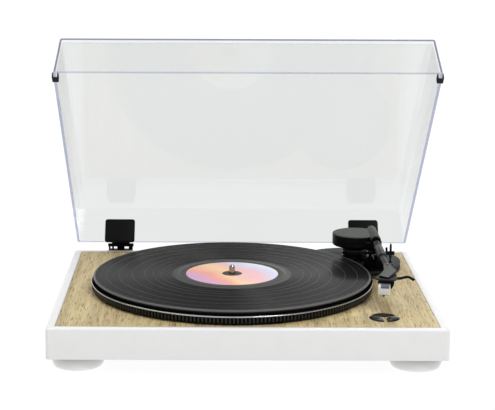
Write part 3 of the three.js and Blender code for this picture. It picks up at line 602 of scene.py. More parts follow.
def oak_finish(settings):
    """Light oak with its grain running front to back: broad figure, fine streaks and short pores."""
    n = Finish("oak")

    def drawn_out(stretch):
        return n.coords((1, stretch, 1))

    warp = n.noise(drawn_out(0.35), 9, 3, 0.5)
    broad = n.noise(drawn_out(0.07), 70, 4, 0.6, 0.5)
    streak = n.noise(drawn_out(0.03), 420, 4, 0.65)
    pores = n.spread(n.noise(drawn_out(0.065), 900, 2, 0.5), 0.15, 1.0, 0.35, 0.43)
    bands = {"Vector": drawn_out(0.12), "Scale": 11, "Distortion": 9, "Detail": 2, "Detail Scale": 0.6}
    wave = n.new("ShaderNodeTexWave", bands, wave_type="BANDS", bands_direction="X", wave_profile="SAW")
    dark, pale = settings.oak_dark, settings.oak_light
    half_way = [(a + b) / 2 for a, b in zip(dark, pale)]
    grain = n.sum(n.times(broad, 0.45), n.times(streak, 0.55))
    wood = n.ramp(grain, [(0.34, dark), (0.46, half_way), (0.58, pale)])
    shade = n.times(n.spread(wave.outputs["Fac"], 0.9, 1.05, 0.0, 1.0), n.spread(warp, 0.93, 1.06))
    n.set(
        base_color=n.scaled(n.blend(pores, settings.oak_pore, wood), shade),
        roughness=n.spread(streak, 0.42, 0.62),
        normal=n.bump(pores, 0.06 * MM, 0.6),
    )
    return n.material


# Radii on the record, in millimetres: the gaps between tracks, the ends of the grooves, and where the rim's painted
# grey highlight begins.
TRACK_GAPS = (77.6, 86.0, 95.2, 108.5, 122.8, 136.0)
GROOVES_END, GROOVES_START, RIM_START = 64.2, 144.2, 147.9


def vinyl_finish(settings):
    """Pressed vinyl: fine grooves that stretch highlights, with smoother gaps between tracks. Groove bands, gaps and
    run-out are painted lighter as sheen, and the rim grey as a painted highlight.
    """
    n = Finish("vinyl")
    offset = n.coords((1 / MM, 1 / MM, 0), (DISC.x * MM, DISC.y * MM, 0))
    distance = n.new("ShaderNodeVectorMath", {0: offset}, operation="LENGTH").outputs["Value"]
    outward = n.new("ShaderNodeVectorMath", {0: offset}, operation="NORMALIZE").outputs["Vector"]
    gaps = None
    for gap in TRACK_GAPS:
        near = n.maths("ABSOLUTE", n.maths("SUBTRACT", distance, gap), 0)
        line = n.spread(near, 1.0, 0.0, 0.45, 0.85)
        gaps = line if gaps is None else n.maths("MAXIMUM", gaps, line)
    dead = n.spread(distance, 1.0, 0.0, GROOVES_END, GROOVES_END + 0.8)
    lead_in = n.spread(distance, 0.0, 1.0, GROOVES_START, GROOVES_START + 0.8)
    # Painted highlight: from RIM_START outward the rim is painted grey.
    worn = n.spread(distance, 0.0, 1.0, RIM_START, RIM_START + 1.0)
    smooth = n.maths("MAXIMUM", n.maths("MAXIMUM", dead, lead_in), gaps)
    turns = {"W": n.times(distance, 1.7), "Scale": 1.0, "Detail": 4}
    loud = n.new("ShaderNodeTexNoise", turns, noise_dimensions="1D").outputs["Fac"]
    # Painted sheen: bands of the grooves are painted up to 1.35 times lighter, the gaps between tracks 4 times and the
    # run-out 8 times, for the light their smoother vinyl reflects.
    brighter = {k: [c * k for c in settings.vinyl] for k in (1.35, 4, 8)}
    grooves = n.ramp(loud, [(0.35, settings.vinyl), (0.65, brighter[1.35])])
    tracks = n.blend(dead, n.blend(gaps, grooves, brighter[4]), brighter[8])
    n.set(
        base_color=n.blend(worn, tracks, (0.12, 0.12, 0.12)),
        roughness=n.maths("SUBTRACT", n.spread(loud, 0.26, 0.3), n.times(smooth, 0.04)),
        anisotropic=n.maths("SUBTRACT", 0.92, n.times(smooth, 0.8)),
        tangent=outward,
        specular_ior_level=0.035,
        coat_weight=0.12,
        coat_ior=1.2,
        coat_roughness=0.05,
    )
    return n.material


LABEL_COLOURS = (
    (0.05, (0.62, 0.38, 0.62)), (0.28, (0.86, 0.36, 0.30)), (0.45, (0.93, 0.62, 0.36)),
    (0.62, (0.90, 0.52, 0.55)), (0.8, (0.72, 0.70, 0.88)), (0.96, (0.86, 0.89, 0.95)),
)


def label_finish():
    """Paper label with a soft blend of warm and cool colours."""
    n = Finish("label")
    centre = (DISC.x * MM, DISC.y * MM, 0)
    where = n.split(n.coords((1 / 50 / MM,) * 3, centre))
    flow = n.noise(n.coords((1, 1, 0), centre), 16, 1, 0.4, 0.3)
    across = n.sum(n.times(where["X"], 0.42), n.times(where["Y"], 0.28))
    mix = n.sum(n.sum(across, 0.5), n.times(n.maths("SUBTRACT", flow, 0.5), 0.55))
    fibre = n.noise(n.coords(), 1800, 2)
    n.set(
        base_color=n.ramp(mix, LABEL_COLOURS),
        roughness=n.spread(fibre, 0.42, 0.55),
        normal=n.bump(fibre, 0.008 * MM, 0.5),
    )
    return n.material


def clear_finish(name, tint, clarity, rough=0.005, shine=1.0):
    """Clear acrylic: a tinted see-through body under a gloss that grows towards grazing angles."""
    n = Finish(name)
    grazing = n.maths("POWER", n.new("ShaderNodeLayerWeight", {"Blend": 0.5}).outputs["Facing"], 5.0)
    mirror = n.sum(n.times(grazing, 0.95 * shine), 0.04 * shine)
    through = n.new("ShaderNodeBsdfTransparent", {"Color": (*tint, 1)})
    gloss = n.new("ShaderNodeBsdfGlossy", {"Roughness": rough})
    body = n.new("ShaderNodeBsdfDiffuse", {"Color": (*tint, 1)})
    haze = n.spread(n.noise(n.coords(), 22, 3), 1 - clarity, (1 - clarity) * 1.2)
    surface = n.mixed(mirror, n.mixed(haze, through, body), gloss)
    n.feed(n.tree.nodes["Material Output"].inputs["Surface"], surface.outputs[0])
    n.tree.nodes.remove(n.shader)
    return n.material


FINISHES = {}


def make_finishes(settings):
    head_paint = [c * 1.3 for c in settings.charcoal]
    black, deep = (0.0045, 0.0045, 0.005), (0.004, 0.004, 0.0045)
    FINISHES.update(
        white=grained("white_satin", settings.white, 0.34, 0.006, 1500, coat=0.1, speck=0.012),
        gloss_white=foot_finish(settings),
        oak=oak_finish(settings),
        # Deck edges: partly the cut edge's own brown, partly painted shade of the gap round the deck.
        oak_edge=grained("stained_edge", (0.05, 0.036, 0.024), 0.7, 0.02, 600),
        black=grained("black_moulding", black, 0.42, 0.012, 1400, specular=0.08),
        black_gloss=grained("black_polish", (0.003, 0.003, 0.0035), 0.14, specular=0.3),
        deep_black=grained("deep_black_moulding", deep, 0.5, 0.01, 1400, specular=0.01),
        petal=grained("button_polish", (0.006, 0.0058, 0.005), 0.2, specular=0.22),
        charcoal=grained("charcoal_paint", settings.charcoal, 0.5, 0.01, 1300, specular=0.25),
        headshell=grained("headshell_paint", head_paint, 0.5, 0.01, 1300, specular=0.3),
        deck_metal=grained("dark_base_paint", settings.arm_base, 0.5, 0.006, 1100, speck=0.03, specular=0.12),
        slate=brushed("slate_metal", settings.slate, 0.4, "Y"),
        tube=brushed("arm_tube_metal", settings.tube, 0.42, "Y", 900),
        steel=brushed("turned_steel", (0.5, 0.51, 0.52), 0.3),
        ring=brushed("bearing_steel", (0.22, 0.21, 0.2), 0.34),
        chrome=brushed("polished_chrome", (0.8, 0.81, 0.82), 0.1, scale=300),
        spindle=brushed("spindle_metal", (0.42, 0.36, 0.34), 0.2, scale=500),
        lip=brushed("bright_lip", (0.5, 0.5, 0.49), 0.14, scale=500),
        cast=grained("platter_paint", deep, 0.45, 0.008, 1000, specular=0.0),
        rib=grained("rib_paint", (0.015, 0.0145, 0.0125), 0.4, 0.008, 1000, specular=0.3),
        rubber=grained("rubber", (0.012, 0.012, 0.012), 0.72, 0.03, specular=0.2),
        mat=grained("mat_rubber", (0.006, 0.006, 0.006), 0.6, 0.03, 700, specular=0.2),
        vinyl=vinyl_finish(settings),
        label=label_finish(),
        cream=grained("cartridge_white", (0.74, 0.73, 0.70), 0.3, 0.004, 1200, speck=0.02, specular=0.3),
        brow=grained("cartridge_brow", (0.13, 0.135, 0.17), 0.35, 0.004, 1200, speck=0.03, specular=0.3),
        red=grained("red_ring", (0.55, 0.02, 0.02), 0.3, speck=0.03),
        board=grained("pressed_board", (0.1, 0.09, 0.08), 0.75, 0.05, 500, speck=0.12),
        green=grained("solder_mask", (0.02, 0.16, 0.07), 0.3, 0.01, 500, speck=0.1),
        clear=clear_finish("clear_acrylic", settings.clear, 0.992),
        clear_wall=clear_finish("clear_acrylic_wall", settings.clear_wall, 0.997),
        clear_side=clear_finish("clear_acrylic_side", settings.clear_side, 0.998),
        navy_edge=clear_finish("acrylic_thick_edge", settings.navy_edge, 0.9, 0.1, 0.5),
        side_edge=clear_finish("acrylic_side_edge", settings.side_edge, 0.9, 0.1, 0.5),
        pale_edge=clear_finish("acrylic_pale_edge", settings.pale_edge, 0.9, 0.1, 0.5),
    )


# ------------------------------------------------------------------ repeated pieces


def start_tree(name, sizes, on_points=False):
    """A geometry node tree with named inputs. Gives its wiring, its inputs and their identifiers."""
    group = bpy.data.node_groups.new(name, "GeometryNodeTree")
    group.is_modifier = True
    socket = group.interface.new_socket
    if on_points:
        socket("Geometry", in_out="INPUT", socket_type="NodeSocketGeometry")
    ids = {}
    for key, (label, kind, default) in sizes.items():
        made = socket(label, in_out="INPUT", socket_type="NodeSocket" + kind)
        made.default_value = default
        ids[key] = made.identifier
    ids["finish"] = socket("Finish", in_out="INPUT", socket_type="NodeSocketMaterial").identifier
    socket("Geometry", in_out="OUTPUT", socket_type="NodeSocketGeometry")
    tree = Wiring(group)
    return tree, tree.new("NodeGroupInput").outputs, ids


def end_tree(tree, instances, finish):
    """Makes the instances plain mesh and gives them their finish."""
    real = tree.new("GeometryNodeRealizeInstances", {0: instances})
    paint = tree.new("GeometryNodeSetMaterial", {"Geometry": real.outputs[0], "Material": finish})
    tree.new("NodeGroupOutput", {0: paint.outputs[0]})


def radial_tree():
    """Bars standing round a circle, narrower at their outer face: ribs, knurls and the like."""
    tree, given, ids = start_tree("Bars Round A Circle", {
        "count": ("Count", "Int", 216),
        "radius": ("Radius", "Float", 0.15),
        "size": ("Bar Size", "Vector", (0.001, 0.001, 0.005)),
    })
    position = tree.new("GeometryNodeInputPosition").outputs[0]
    circle = tree.new("GeometryNodeMeshCircle", {"Vertices": given["Count"], "Radius": given["Radius"]})
    bar = tree.new("GeometryNodeMeshCube", {"Size": given["Bar Size"], "Vertices X": 3})
    place = tree.split(position)
    outer_face = tree.times(tree.split(given["Bar Size"])["X"], 0.5)
    width = tree.times(place["Y"], tree.spread(place["X"], 1.0, 0.55, 0.0, outer_face))
    narrowed = tree.new("ShaderNodeCombineXYZ", {"X": place["X"], "Y": width, "Z": place["Z"]})
    moved = {"Geometry": bar.outputs["Mesh"], "Position": narrowed.outputs[0]}
    shape = tree.new("GeometryNodeSetPosition", moved)
    facing = tree.new("FunctionNodeAlignRotationToVector", {"Vector": position}, axis="X")
    points = tree.new("GeometryNodeInstanceOnPoints", {
        "Points": circle.outputs["Mesh"],
        "Instance": shape.outputs["Geometry"],
        "Rotation": facing.outputs["Rotation"],
    })
    end_tree(tree, points.outputs["Instances"], given["Finish"])
    return tree.tree, ids


def screw_tree():
    """Cross-head screws standing on the points of a mesh, each facing along +Z."""
    tree, given, ids = start_tree("Screws On Points", {
        "radius": ("Head Radius", "Float", 0.003),
        "height": ("Head Height", "Float", 0.0012),
        "cut": ("Slot Width", "Float", 0.0007),
    }, on_points=True)
    radius, height = given["Head Radius"], given["Head Height"]
    crown = tree.times(radius, 0.72)
    cone = {"Vertices": 28, "Depth": height, "Radius Bottom": radius, "Radius Top": crown}
    head = tree.new("GeometryNodeMeshCone", cone)
    cross = tree.new("GeometryNodeJoinGeometry")
    for long_way in (0, 1):
        size = tree.new("ShaderNodeCombineXYZ", {long_way: crown, 1 - long_way: given["Slot Width"], 2: height})
        bar = tree.new("GeometryNodeMeshCube", {"Size": size.outputs[0]})
        raised = tree.new("ShaderNodeCombineXYZ", {2: height})
        inputs = {"Geometry": bar.outputs["Mesh"], "Translation": raised.outputs[0]}
        tree.feed(cross.inputs[0], tree.new("GeometryNodeTransform", inputs).outputs[0])
    meshes = {"Mesh 1": head.outputs["Mesh"], "Mesh 2": cross.outputs[0]}
    cut = tree.new("GeometryNodeMeshBoolean", meshes, operation="DIFFERENCE")
    screws = {"Points": given["Geometry"], "Instance": cut.outputs["Mesh"]}
    points = tree.new("GeometryNodeInstanceOnPoints", screws)
    end_tree(tree, points.outputs["Instances"], given["Finish"])
    return tree.tree, ids


MAKERS = {"radial": radial_tree, "screws": screw_tree}
TREES = {}


def grown_piece(name, kind, finish, place, body, slot, points=(), **sizes):
    """Runs a node tree on a mesh of bare points, places the result and makes it a finished piece."""
    if kind not in TREES:
        TREES[kind] = MAKERS[kind]()
    tree, ids = TREES[kind]
    seed = bpy.data.meshes.new("seed")
    seed.from_pydata([Vector(p) * MM for p in points], [], [])
    holder = linked("seed", seed)
    modifier = holder.modifiers.new("grow", "NODES")
    modifier.node_group = tree
    for key, value in {**sizes, "finish": FINISHES[finish]}.items():
        modifier[ids[key]] = value
    mesh = baked(holder)
    holder.modifiers.clear()
    bpy.data.objects.remove(holder)
    bpy.data.meshes.remove(seed)
    mesh.name = name
    shift = place.copy()
    shift.translation *= MM
    mesh.transform(shift)
    dress(linked(name, mesh), body, slot)


# ------------------------------------------------------------------ sizes and colours


def length(**words):
    return FloatProperty(unit="LENGTH", **words)


def colour(**words):
    return FloatVectorProperty(subtype="COLOR", **words)


class RecordPlayerSizes(bpy.types.PropertyGroup):
    rib_count: IntProperty(name="Platter ribs", description="Ribs round the platter", default=240, min=24)
    plinth_edge: length(name="Plinth edge", description="Radius of the plinth's upper edge", default=0.003)
    petal_rise: length(name="Button dome", description="Height of the buttons above the deck", default=0.002)
    record_edge: length(name="Record edge", description="Rounding of the record's rim", default=0.0007)
    screw_head: length(name="Screw head", description="Radius of the rear panel's screws", default=0.0025)


class RecordPlayerColours(bpy.types.PropertyGroup):
    white: colour(name="White", description="White of the plinth and feet", default=(0.80, 0.80, 0.795))
    oak_light: colour(name="Oak, pale", description="Wood between the streaks", default=(0.60, 0.485, 0.25))
    oak_dark: colour(name="Oak, dark", description="Streaks of the wood", default=(0.31, 0.22, 0.10))
    oak_pore: colour(name="Oak, pores", description="Short pores of the wood", default=(0.21, 0.12, 0.05))
    vinyl: colour(name="Vinyl", description="Colour of the record", default=(0.0085, 0.0085, 0.0081))
    charcoal: colour(name="Charcoal", description="Pivot drum and headshell", default=(0.06, 0.063, 0.056))
    arm_base: colour(name="Tonearm base", description="Round tonearm base", default=(0.03, 0.032, 0.031))
    slate: colour(name="Slate", description="Metal of the tonearm sleeve", default=(0.055, 0.055, 0.062))
    tube: colour(name="Arm tube", description="Metal of the arm tube", default=(0.07, 0.072, 0.068))
    clear: colour(name="Clear cover", description="Tint of the clear acrylic", default=(0.907, 0.916, 0.912))
    clear_wall: colour(name="Front wall", description="Tint of the front wall", default=(0.945, 0.952, 0.949))
    clear_side: colour(name="Side walls", description="Tint of the side walls", default=(0.995, 0.998, 0.998))
    navy_edge: colour(name="Thick edges", description="Tint of the front corners", default=(0.30, 0.31, 0.42))
    side_edge: colour(name="Side rims", description="Tint of the side walls' rims", default=(0.55, 0.58, 0.74))
    pale_edge: colour(name="Pale rims", description="Tint of the other rims", default=(0.72, 0.74, 0.82))


# ------------------------------------------------------------------ stage

# The studio's light, as curves along each axis from -1 at 0.0 to 1 at 1.0. Their levels multiply.
SKY = {
    "Z": ((0.0, 0.8), (0.5, 0.85), (0.61, 0.7), (0.68, 0.3), (0.8, 0.35), (0.86, 0.7), (0.93, 0.4), (1.0, 0.2)),
    "Y": ((0.0, 0.76), (0.3, 0.74), (0.6, 0.8), (0.85, 1.05), (1.0, 1.05)),
    "X": ((0.0, 1.0), (0.46, 1.12), (0.475, 1.05), (0.5, 0.5), (0.52, 1.25), (0.545, 1.7), (0.6, 1.95),
          (0.68, 1.2), (1.0, 1.05)),
}
# A curve's points stay below 1, so each holds a share of its level and the product is scaled back.
CURVE_SHARE = 2.0

# Where each sun shines from, how wide it is in degrees, and its strength.
SUNS = {
    "sun_key": ((0.5, -0.58, 1.1), 20, 1.3),
    "sun_top": ((-0.3, 0.2, 1.2), 60, 1.3),
    "sun_back": ((0.09, 0.74, 0.67), 4, 0.25),
}
FLOOR_HALF, FLOOR_DROP, FLOOR_GLOW = 40, 0.0002, 0.96

CAMERA_PLACE = (-0.03687, -1.61874, 0.47005)
CAMERA_TILT, CAMERA_TURN = radians(78.294), radians(0.2033)
CAMERA_LENS, CAMERA_SENSOR, CAMERA_SHIFT, CAMERA_REACH = 110.38, 36, 0.07398, 200


def make_world():
    world = bpy.data.worlds.new("studio")
    world.use_nodes = True
    sky = Wiring(world.node_tree)
    way = sky.split(sky.new("ShaderNodeTexCoord").outputs["Generated"])
    glow = CURVE_SHARE ** len(SKY)
    for axis, stops in SKY.items():
        level = sky.new("ShaderNodeFloatCurve", {"Value": sky.spread(way[axis], 0.0, 1.0, -1.0, 1.0)})
        curve = level.mapping.curves[0]
        for point, (place, value) in zip(curve.points, (stops[0], stops[-1])):
            point.location = (place, value / CURVE_SHARE)
        for place, value in stops[1:-1]:
            curve.points.new(place, value / CURVE_SHARE)
        level.mapping.update()
        glow = sky.times(level.outputs["Value"], glow)
    sky.feed(world.node_tree.nodes["Background"].inputs["Strength"], glow)
    sky.feed(world.node_tree.nodes["Background"].inputs["Color"], (1, 1, 1, 1))
    bpy.context.scene.world = world


def make_suns():
    """Even light from far away, so the floor is as bright at the back as at the front."""
    for name, (source, width, strength) in SUNS.items():
        light = bpy.data.lights.new(name, "SUN")
        light.angle = radians(width)
        light.energy = strength
        linked(name, light).rotation_euler = (-Vector(source)).to_track_quat("-Z", "Y").to_euler()


def make_floor():
    bm = bmesh.new()
    bmesh.ops.create_grid(bm, x_segments=1, y_segments=1, size=FLOOR_HALF)
    mesh = bpy.data.meshes.new("floor")
    bm.to_mesh(mesh)
    bm.free()
    floor = linked("floor", mesh)
    floor.location = (0, 0, -FLOOR_DROP)
    paper = grained("floor_paper", (0.06, 0.06, 0.06), 0.9, specular=0.05, speck=0.004)
    glow = paper.node_tree.nodes["Principled BSDF"].inputs
    glow["Emission Color"].default_value = (1, 1, 1, 1)
    glow["Emission Strength"].default_value = FLOOR_GLOW
    floor.data.materials.append(paper)
    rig.stage(floor)


def make_camera():
    data = bpy.data.cameras.new("camera")
    data.lens = CAMERA_LENS
    data.sensor_width = CAMERA_SENSOR
    data.shift_x = CAMERA_SHIFT
    data.clip_end = CAMERA_REACH
    camera = linked("camera", data)
    camera.location = CAMERA_PLACE
    turn = Matrix.Rotation(CAMERA_TILT, 3, "X") @ Matrix.Rotation(CAMERA_TURN, 3, "Z")
    camera.rotation_euler = turn.to_euler()
    bpy.context.scene.camera = camera


def make_stage():
    bpy.context.scene.view_settings.view_transform = "Standard"
    bpy.context.scene.view_settings.look = "None"
    make_world()
    make_suns()
    make_floor()
    make_camera()


# ------------------------------------------------------------------ plinth and feet


def stack(bm, levels, corner_steps):
    """A closed body from stacked rounded rectangles of (half width, half depth, corner, z)."""
    part = bmesh.new()
    rings = []
    for w, d, corner, z in levels:
        ring = rect(-w, w, -d, d, max(corner, 0.02), corner_steps)
        rings.append([part.verts.new((x, y, z)) for x, y in ring])
    skin(part, rings)
    absorb(bm, part)


def drum_tool(x, y, radius, z0, z1, steps=48):
    tool = bmesh.new()
    lathe(tool, [(0, z0), (radius, z0), (radius, z1), (0, z1)], (x, y, 0), steps)
    return tool


def shaft_spots():
    motor = middle("motor_pulley")
    return [(*SPIN, 13), (motor.x, motor.y - MID_Y, 11), (*POST, 10)]


def petal_outline(degrees, grow=0.0):
    """One third of a disc, its sides half a gap from the dividing lines, with rounded corners."""
    radius, gap, corner, tip = 15.2, 3.7, 3.4, 4.5
    inset = (gap / 2 - grow) / sin(pi / 3)
    r = radius + grow
    centre = Vector(polar(1, radians(degrees))) * inset
    points = [(centre.x, centre.y, tip)]
    # The two straight sides leave the tip 60 degrees either way and meet the rim.
    ends = []
    for side in (-60, 60):
        way = Vector(polar(1, radians(degrees + side)))
        along = centre.dot(way)
        reach = -along + sqrt(along * along + r * r - centre.length_squared)
        end = centre + way * reach
        ends.append(atan2(end.y, end.x))
    start, finish = ends
    while finish < start:
        finish += tau
    for k in range(13):
        a = start + (finish - start) * k / 12
        points.append((*polar(r, a), corner if k in (0, 12) else 0))
    return [(BUTTON_AT[0] + x, BUTTON_AT[1] + y) for x, y in rounded(points, True, 4)]


def build_plinth(sizes):
    half_w, half_d = high("plinth_shell").x, REAR
    floor, edge = low("plinth_shell").z, sizes.plinth_edge / MM
    recess_w, recess_d = high("deck_panel").x + 0.3, high("deck_panel").y - MID_Y + 0.3
    shelf, wall = DECK - 3.0, 3.0
    levels = [(half_w - wall, half_d - wall, 1, shelf - 3), (half_w - wall, half_d - wall, 1, floor)]
    for k in range(4):
        a = radians(90 * k / 3)
        out, up = 0.6 * sin(a), 0.6 * cos(a)
        levels.append((half_w - 0.6 + out, half_d - 0.6 + out, 3.5, floor + 0.6 - up))
    for k in range(9):
        a = radians(90 * k / 8)
        pull = edge * (1 - cos(a))
        levels.append((half_w - pull, half_d - pull, 3.5, DECK - edge + edge * sin(a)))
    levels.append((recess_w + 0.35, recess_d + 0.35, 0.6, DECK))
    levels.append((recess_w + 0.1, recess_d + 0.1, 0.5, DECK - 0.1))
    levels.append((recess_w, recess_d, 0.4, DECK - 0.35))
    levels.append((recess_w, recess_d, 0.4, shelf))
    bm = bmesh.new()
    stack(bm, levels, 7)
    tools = [drum_tool(x, y, r, shelf - 4, shelf + 2) for x, y, r in shaft_spots()]
    for degrees in PETALS.values():
        spot = polar(STEM_REACH, radians(degrees), *BUTTON_AT)
        tools.append(drum_tool(*spot, 4.5, shelf - 4, shelf + 2, 24))
    window = bmesh.new()
    block(window, (52, half_d - 5, 19), (178, half_d + 5, 37), 0)
    tools.append(window)
    bm = carve(bm, tools)
    piece("plinth_body", bm, "chassis", "white_plastic", ["white"], ["plinth_shell"])


def build_deck(sizes):
    half_w, half_d = high("deck_panel").x, high("deck_panel").y - MID_Y
    rings = [rect(-half_w, half_w, -half_d, half_d, 0.8, 3)]
    rings += [ring_points(x, y, r) for x, y, r in shaft_spots()]
    rings += [petal_outline(d, 0.35) for d in PETALS.values()]
    bm = bmesh.new()
    plate(bm, rings, low("deck_panel").z, DECK, 0.18, 1)
    bm.normal_update()
    # The side faces take a near-black brown: partly the colour of the cut edge, partly painted shade for the gap round
    # the deck.
    for face in bm.faces:
        if abs(face.normal.z) < 0.9:
            face.material_index = 1
    piece("oak_deck", bm, "chassis", "oak", ["oak", "oak_edge"], ["deck_panel"])


def build_feet(sizes):
    top = low("plinth_shell").z - 0.3
    shell = [(0, 3), (19.3, 3, 0.3), (19.3, 0.5, 0.4), (23.2, 0.5, 0.5), (24.6, 1.1, 1.2), (25.8, 3.6, 3),
             (27.6, top - 2.6, 4), (27.6, top, 0.5), (0, top)]
    sole = [(0, 0.5), (6, 0.5), (7, 0, 0.3), (19, 0, 0.5), (19, 2.7), (0, 2.7)]
    for tag, x, y in (("fl", -170.5, -136), ("fr", 170.5, -136), ("bl", -170.5, 136), ("br", 170.5, 136)):
        bm = bmesh.new()
        lathe(bm, rounded(shell, False, 4), (x, y, 0), 96)
        piece(f"foot_shell_{tag}", bm, "chassis", "white_plastic", ["gloss_white"], [f"foot_{tag}"])
        bm = bmesh.new()
        lathe(bm, rounded(sole, False, 3), (x, y, 0), 64)
        piece(f"foot_sole_{tag}", bm, "chassis", "rubber", ["rubber"], [f"foot_pad_{tag}"])


def build_underside(sizes):
    lo, hi = low("bottom_cover"), high("bottom_cover")
    rings = [rect(lo.x, hi.x, lo.y - MID_Y, hi.y - MID_Y, 2, 3)]
    rings += [rect(x - 2, x + 2, 37, 83, 1.9, 5) for x in range(62, 135, 9)]
    bm = bmesh.new()
    plate(bm, rings, lo.z, hi.z, 0.3, 1)
    piece("underside_board", bm, "chassis", "dark_board", ["board"], ["bottom_cover"])
    spots = [(x, y, 0) for x in (-186, 186) for y in (-95, 0, 95)]
    spots += [(x, y, 0) for y in (-154, 154) for x in (-90, 0, 90)]
    flip = PLAN @ Matrix.Translation((0, 0, lo.z - 0.5)) @ Matrix.Rotation(pi, 4, "X")
    screw = {"radius": 0.0034, "height": 0.0014, "cut": 0.0008}
    grown_piece("underside_screws", "screws", "steel", flip, "chassis", "steel", spots, **screw)


# ------------------------------------------------------------------ turntable


def build_platter(sizes):
    z, top = low("platter").z, high("platter").z
    lip = high("platter").x - DISC.x
    web, skirt = top - 2.6, lip - 1.9
    profile = [(4, z + 0.6), (15, z + 0.6, 0.5), (17, web, 1), (83, web), (83, z, 0.3), (86, z, 0.3), (86, web),
               (146, web), (146, z, 0.4), (lip - 1.4, z, 0.3), (lip - 1.4, z + 0.9, 0.2), (skirt, z + 1.1),
               (skirt, top - 2.9), (lip - 0.7, top - 2.8, 0.3), (lip, top - 2.3, 0.3), (lip, top - 1.2, 0.8),
               (lip - 3.1, top - 0.55, 0.3), (lip - 4.2, top, 0.4), (4, top)]
    bm = bmesh.new()
    lathe(bm, rounded(profile, False, 3), (*SPIN, 0), 288)
    for face in bm.faces:
        c = face.calc_center_median()
        if hypot(c.x - SPIN[0], c.y - SPIN[1]) > lip - 1.3 and c.z > top - 3.0:
            face.material_index = 1
    piece("platter_dish", bm, "turntable", "cast_platter", ["cast", "lip"], ["platter"])
    tall = 4.9
    ribs = {"count": sizes.rib_count, "radius": (lip - 1.3) * MM, "size": (0.0016, 0.0023, tall * MM)}
    place = PLAN @ Matrix.Translation((*SPIN, z + 1.0 + tall / 2))
    grown_piece("platter_ribs", "radial", "rib", place, "turntable", "cast_platter", **ribs)
    lo, hi = low("platter_mat"), high("platter_mat")
    radius = hi.x - DISC.x
    bm = bmesh.new()
    profile = [(5, lo.z), (radius, lo.z, 0.3), (radius, hi.z, 0.5), (52, hi.z, 0.3), (51, hi.z - 0.6, 0.3),
               (5, hi.z - 0.6)]
    lathe(bm, rounded(profile, False, 3), (*SPIN, 0), 192)
    piece("mat", bm, "turntable", "rubber", ["mat"], ["platter_mat"])


def build_record(sizes):
    z0, top = low("record").z, DISC_TOP
    r = high("record").x - DISC.x
    edge = sizes.record_edge / MM
    profile = [(3.65, z0), (r - 0.4, z0 + 0.1, edge), (r, z0 + 0.9, edge), (r, top - 0.9, edge),
               (r - 0.9, top - 0.1, 0.8), (r - 4.5, top - 0.3, 1.5), (59.5, top - 0.3, 1), (56.5, top, 1),
               (50.3, top, 0.2), (50.3, top - 0.7), (10.7, top - 0.7), (10.7, top, 0.2), (3.9, top, 0.2),
               (3.65, top - 0.25)]
    bm = bmesh.new()
    lathe(bm, rounded(profile, False, 4), (*SPIN, 0), 288)
    piece("disc", bm, "turntable", "vinyl", ["vinyl"], ["record"], 40)
    bm = bmesh.new()
    profile = [(11, top - 0.4), (50, top - 0.4), (50, top, 0.12), (11, top, 0.12)]
    lathe(bm, rounded(profile, False, 2), (*SPIN, 0), 192)
    piece("paper_label", bm, "turntable", "label_paper", ["label"], ["record_label"])
    tip = high("spindle").z
    bm = bmesh.new()
    foot = low("spindle").z
    profile = [(0, foot), (3.3, foot, 0.3), (3.3, top + 5.6, 1.5), (2.9, tip - 1.7, 1.2), (1.9, tip - 0.3, 0.8),
               (0, tip)]
    lathe(bm, rounded(profile, False, 5), (*SPIN, 0), 64)
    piece("spindle_pin", bm, "turntable", "chrome", ["spindle"], ["spindle"], 50)


# ------------------------------------------------------------------ tonearm base


def bitten_disc(radius, grow=0.0):
    """The tonearm base's outline: a disc with a concave bite for the platter."""
    cx, cy = 121.6, 87.4
    bite = 154.6 + grow
    dx, dy = cx - SPIN[0], cy - SPIN[1]
    apart = hypot(dx, dy)
    along = (bite * bite - radius * radius + apart * apart) / (2 * apart)
    way = atan2(dy, dx)
    half = acos(along / bite)
    other = acos((apart - along) / radius)
    points = []
    for k in range(73):
        a = way + pi + other + (tau - 2 * other) * k / 72
        points.append((*polar(radius, a, cx, cy), 1.4 if k in (0, 72) else 0))
    for k in range(1, 32):
        a = way + half - 2 * half * k / 32
        points.append(polar(bite, a, *SPIN))
    return rounded(points, True, 3)


def build_arm_base(sizes):
    z0, z1 = low("tonearm_base").z, high("tonearm_base").z
    hole = ring_points(*POST, 8)
    bm = bmesh.new()
    plate(bm, [bitten_disc(59), hole], z0, z0 + 3.4, 0.5, 3)
    plate(bm, [bitten_disc(57.9, 0.8), hole], z0 + 3.2, z1 - 3.4, 0.05, 1, 1)
    plate(bm, [bitten_disc(58.8), hole], z1 - 3.6, z1, 0.6, 3)
    piece("arm_base_tiers", bm, "chassis", "graphite", ["deck_metal", "black"], ["tonearm_base"])
    z0, z1 = low("tonearm_column").z, high("tonearm_column").z
    profile = [(5, z0), (15.9, z0, 0.4), (15.9, z0 + 1.2, 0.5), (12.9, z0 + 1.9, 0.4)]
    for mid in (59.4, 63.9, 68.4):
        profile += [(12.9, mid - 1.9, 0.3), (15.3, mid - 1.3, 0.7)]
        profile += [(15.3, mid + 1.3, 0.7), (12.9, mid + 1.9, 0.3)]
    profile += [(12.9, z1), (5, z1)]
    bm = bmesh.new()
    lathe(bm, rounded(profile, False, 4), (*POST, 0), 96)
    piece("column_rings", bm, "chassis", "black_gloss", ["black_gloss"], ["tonearm_column"], 50)


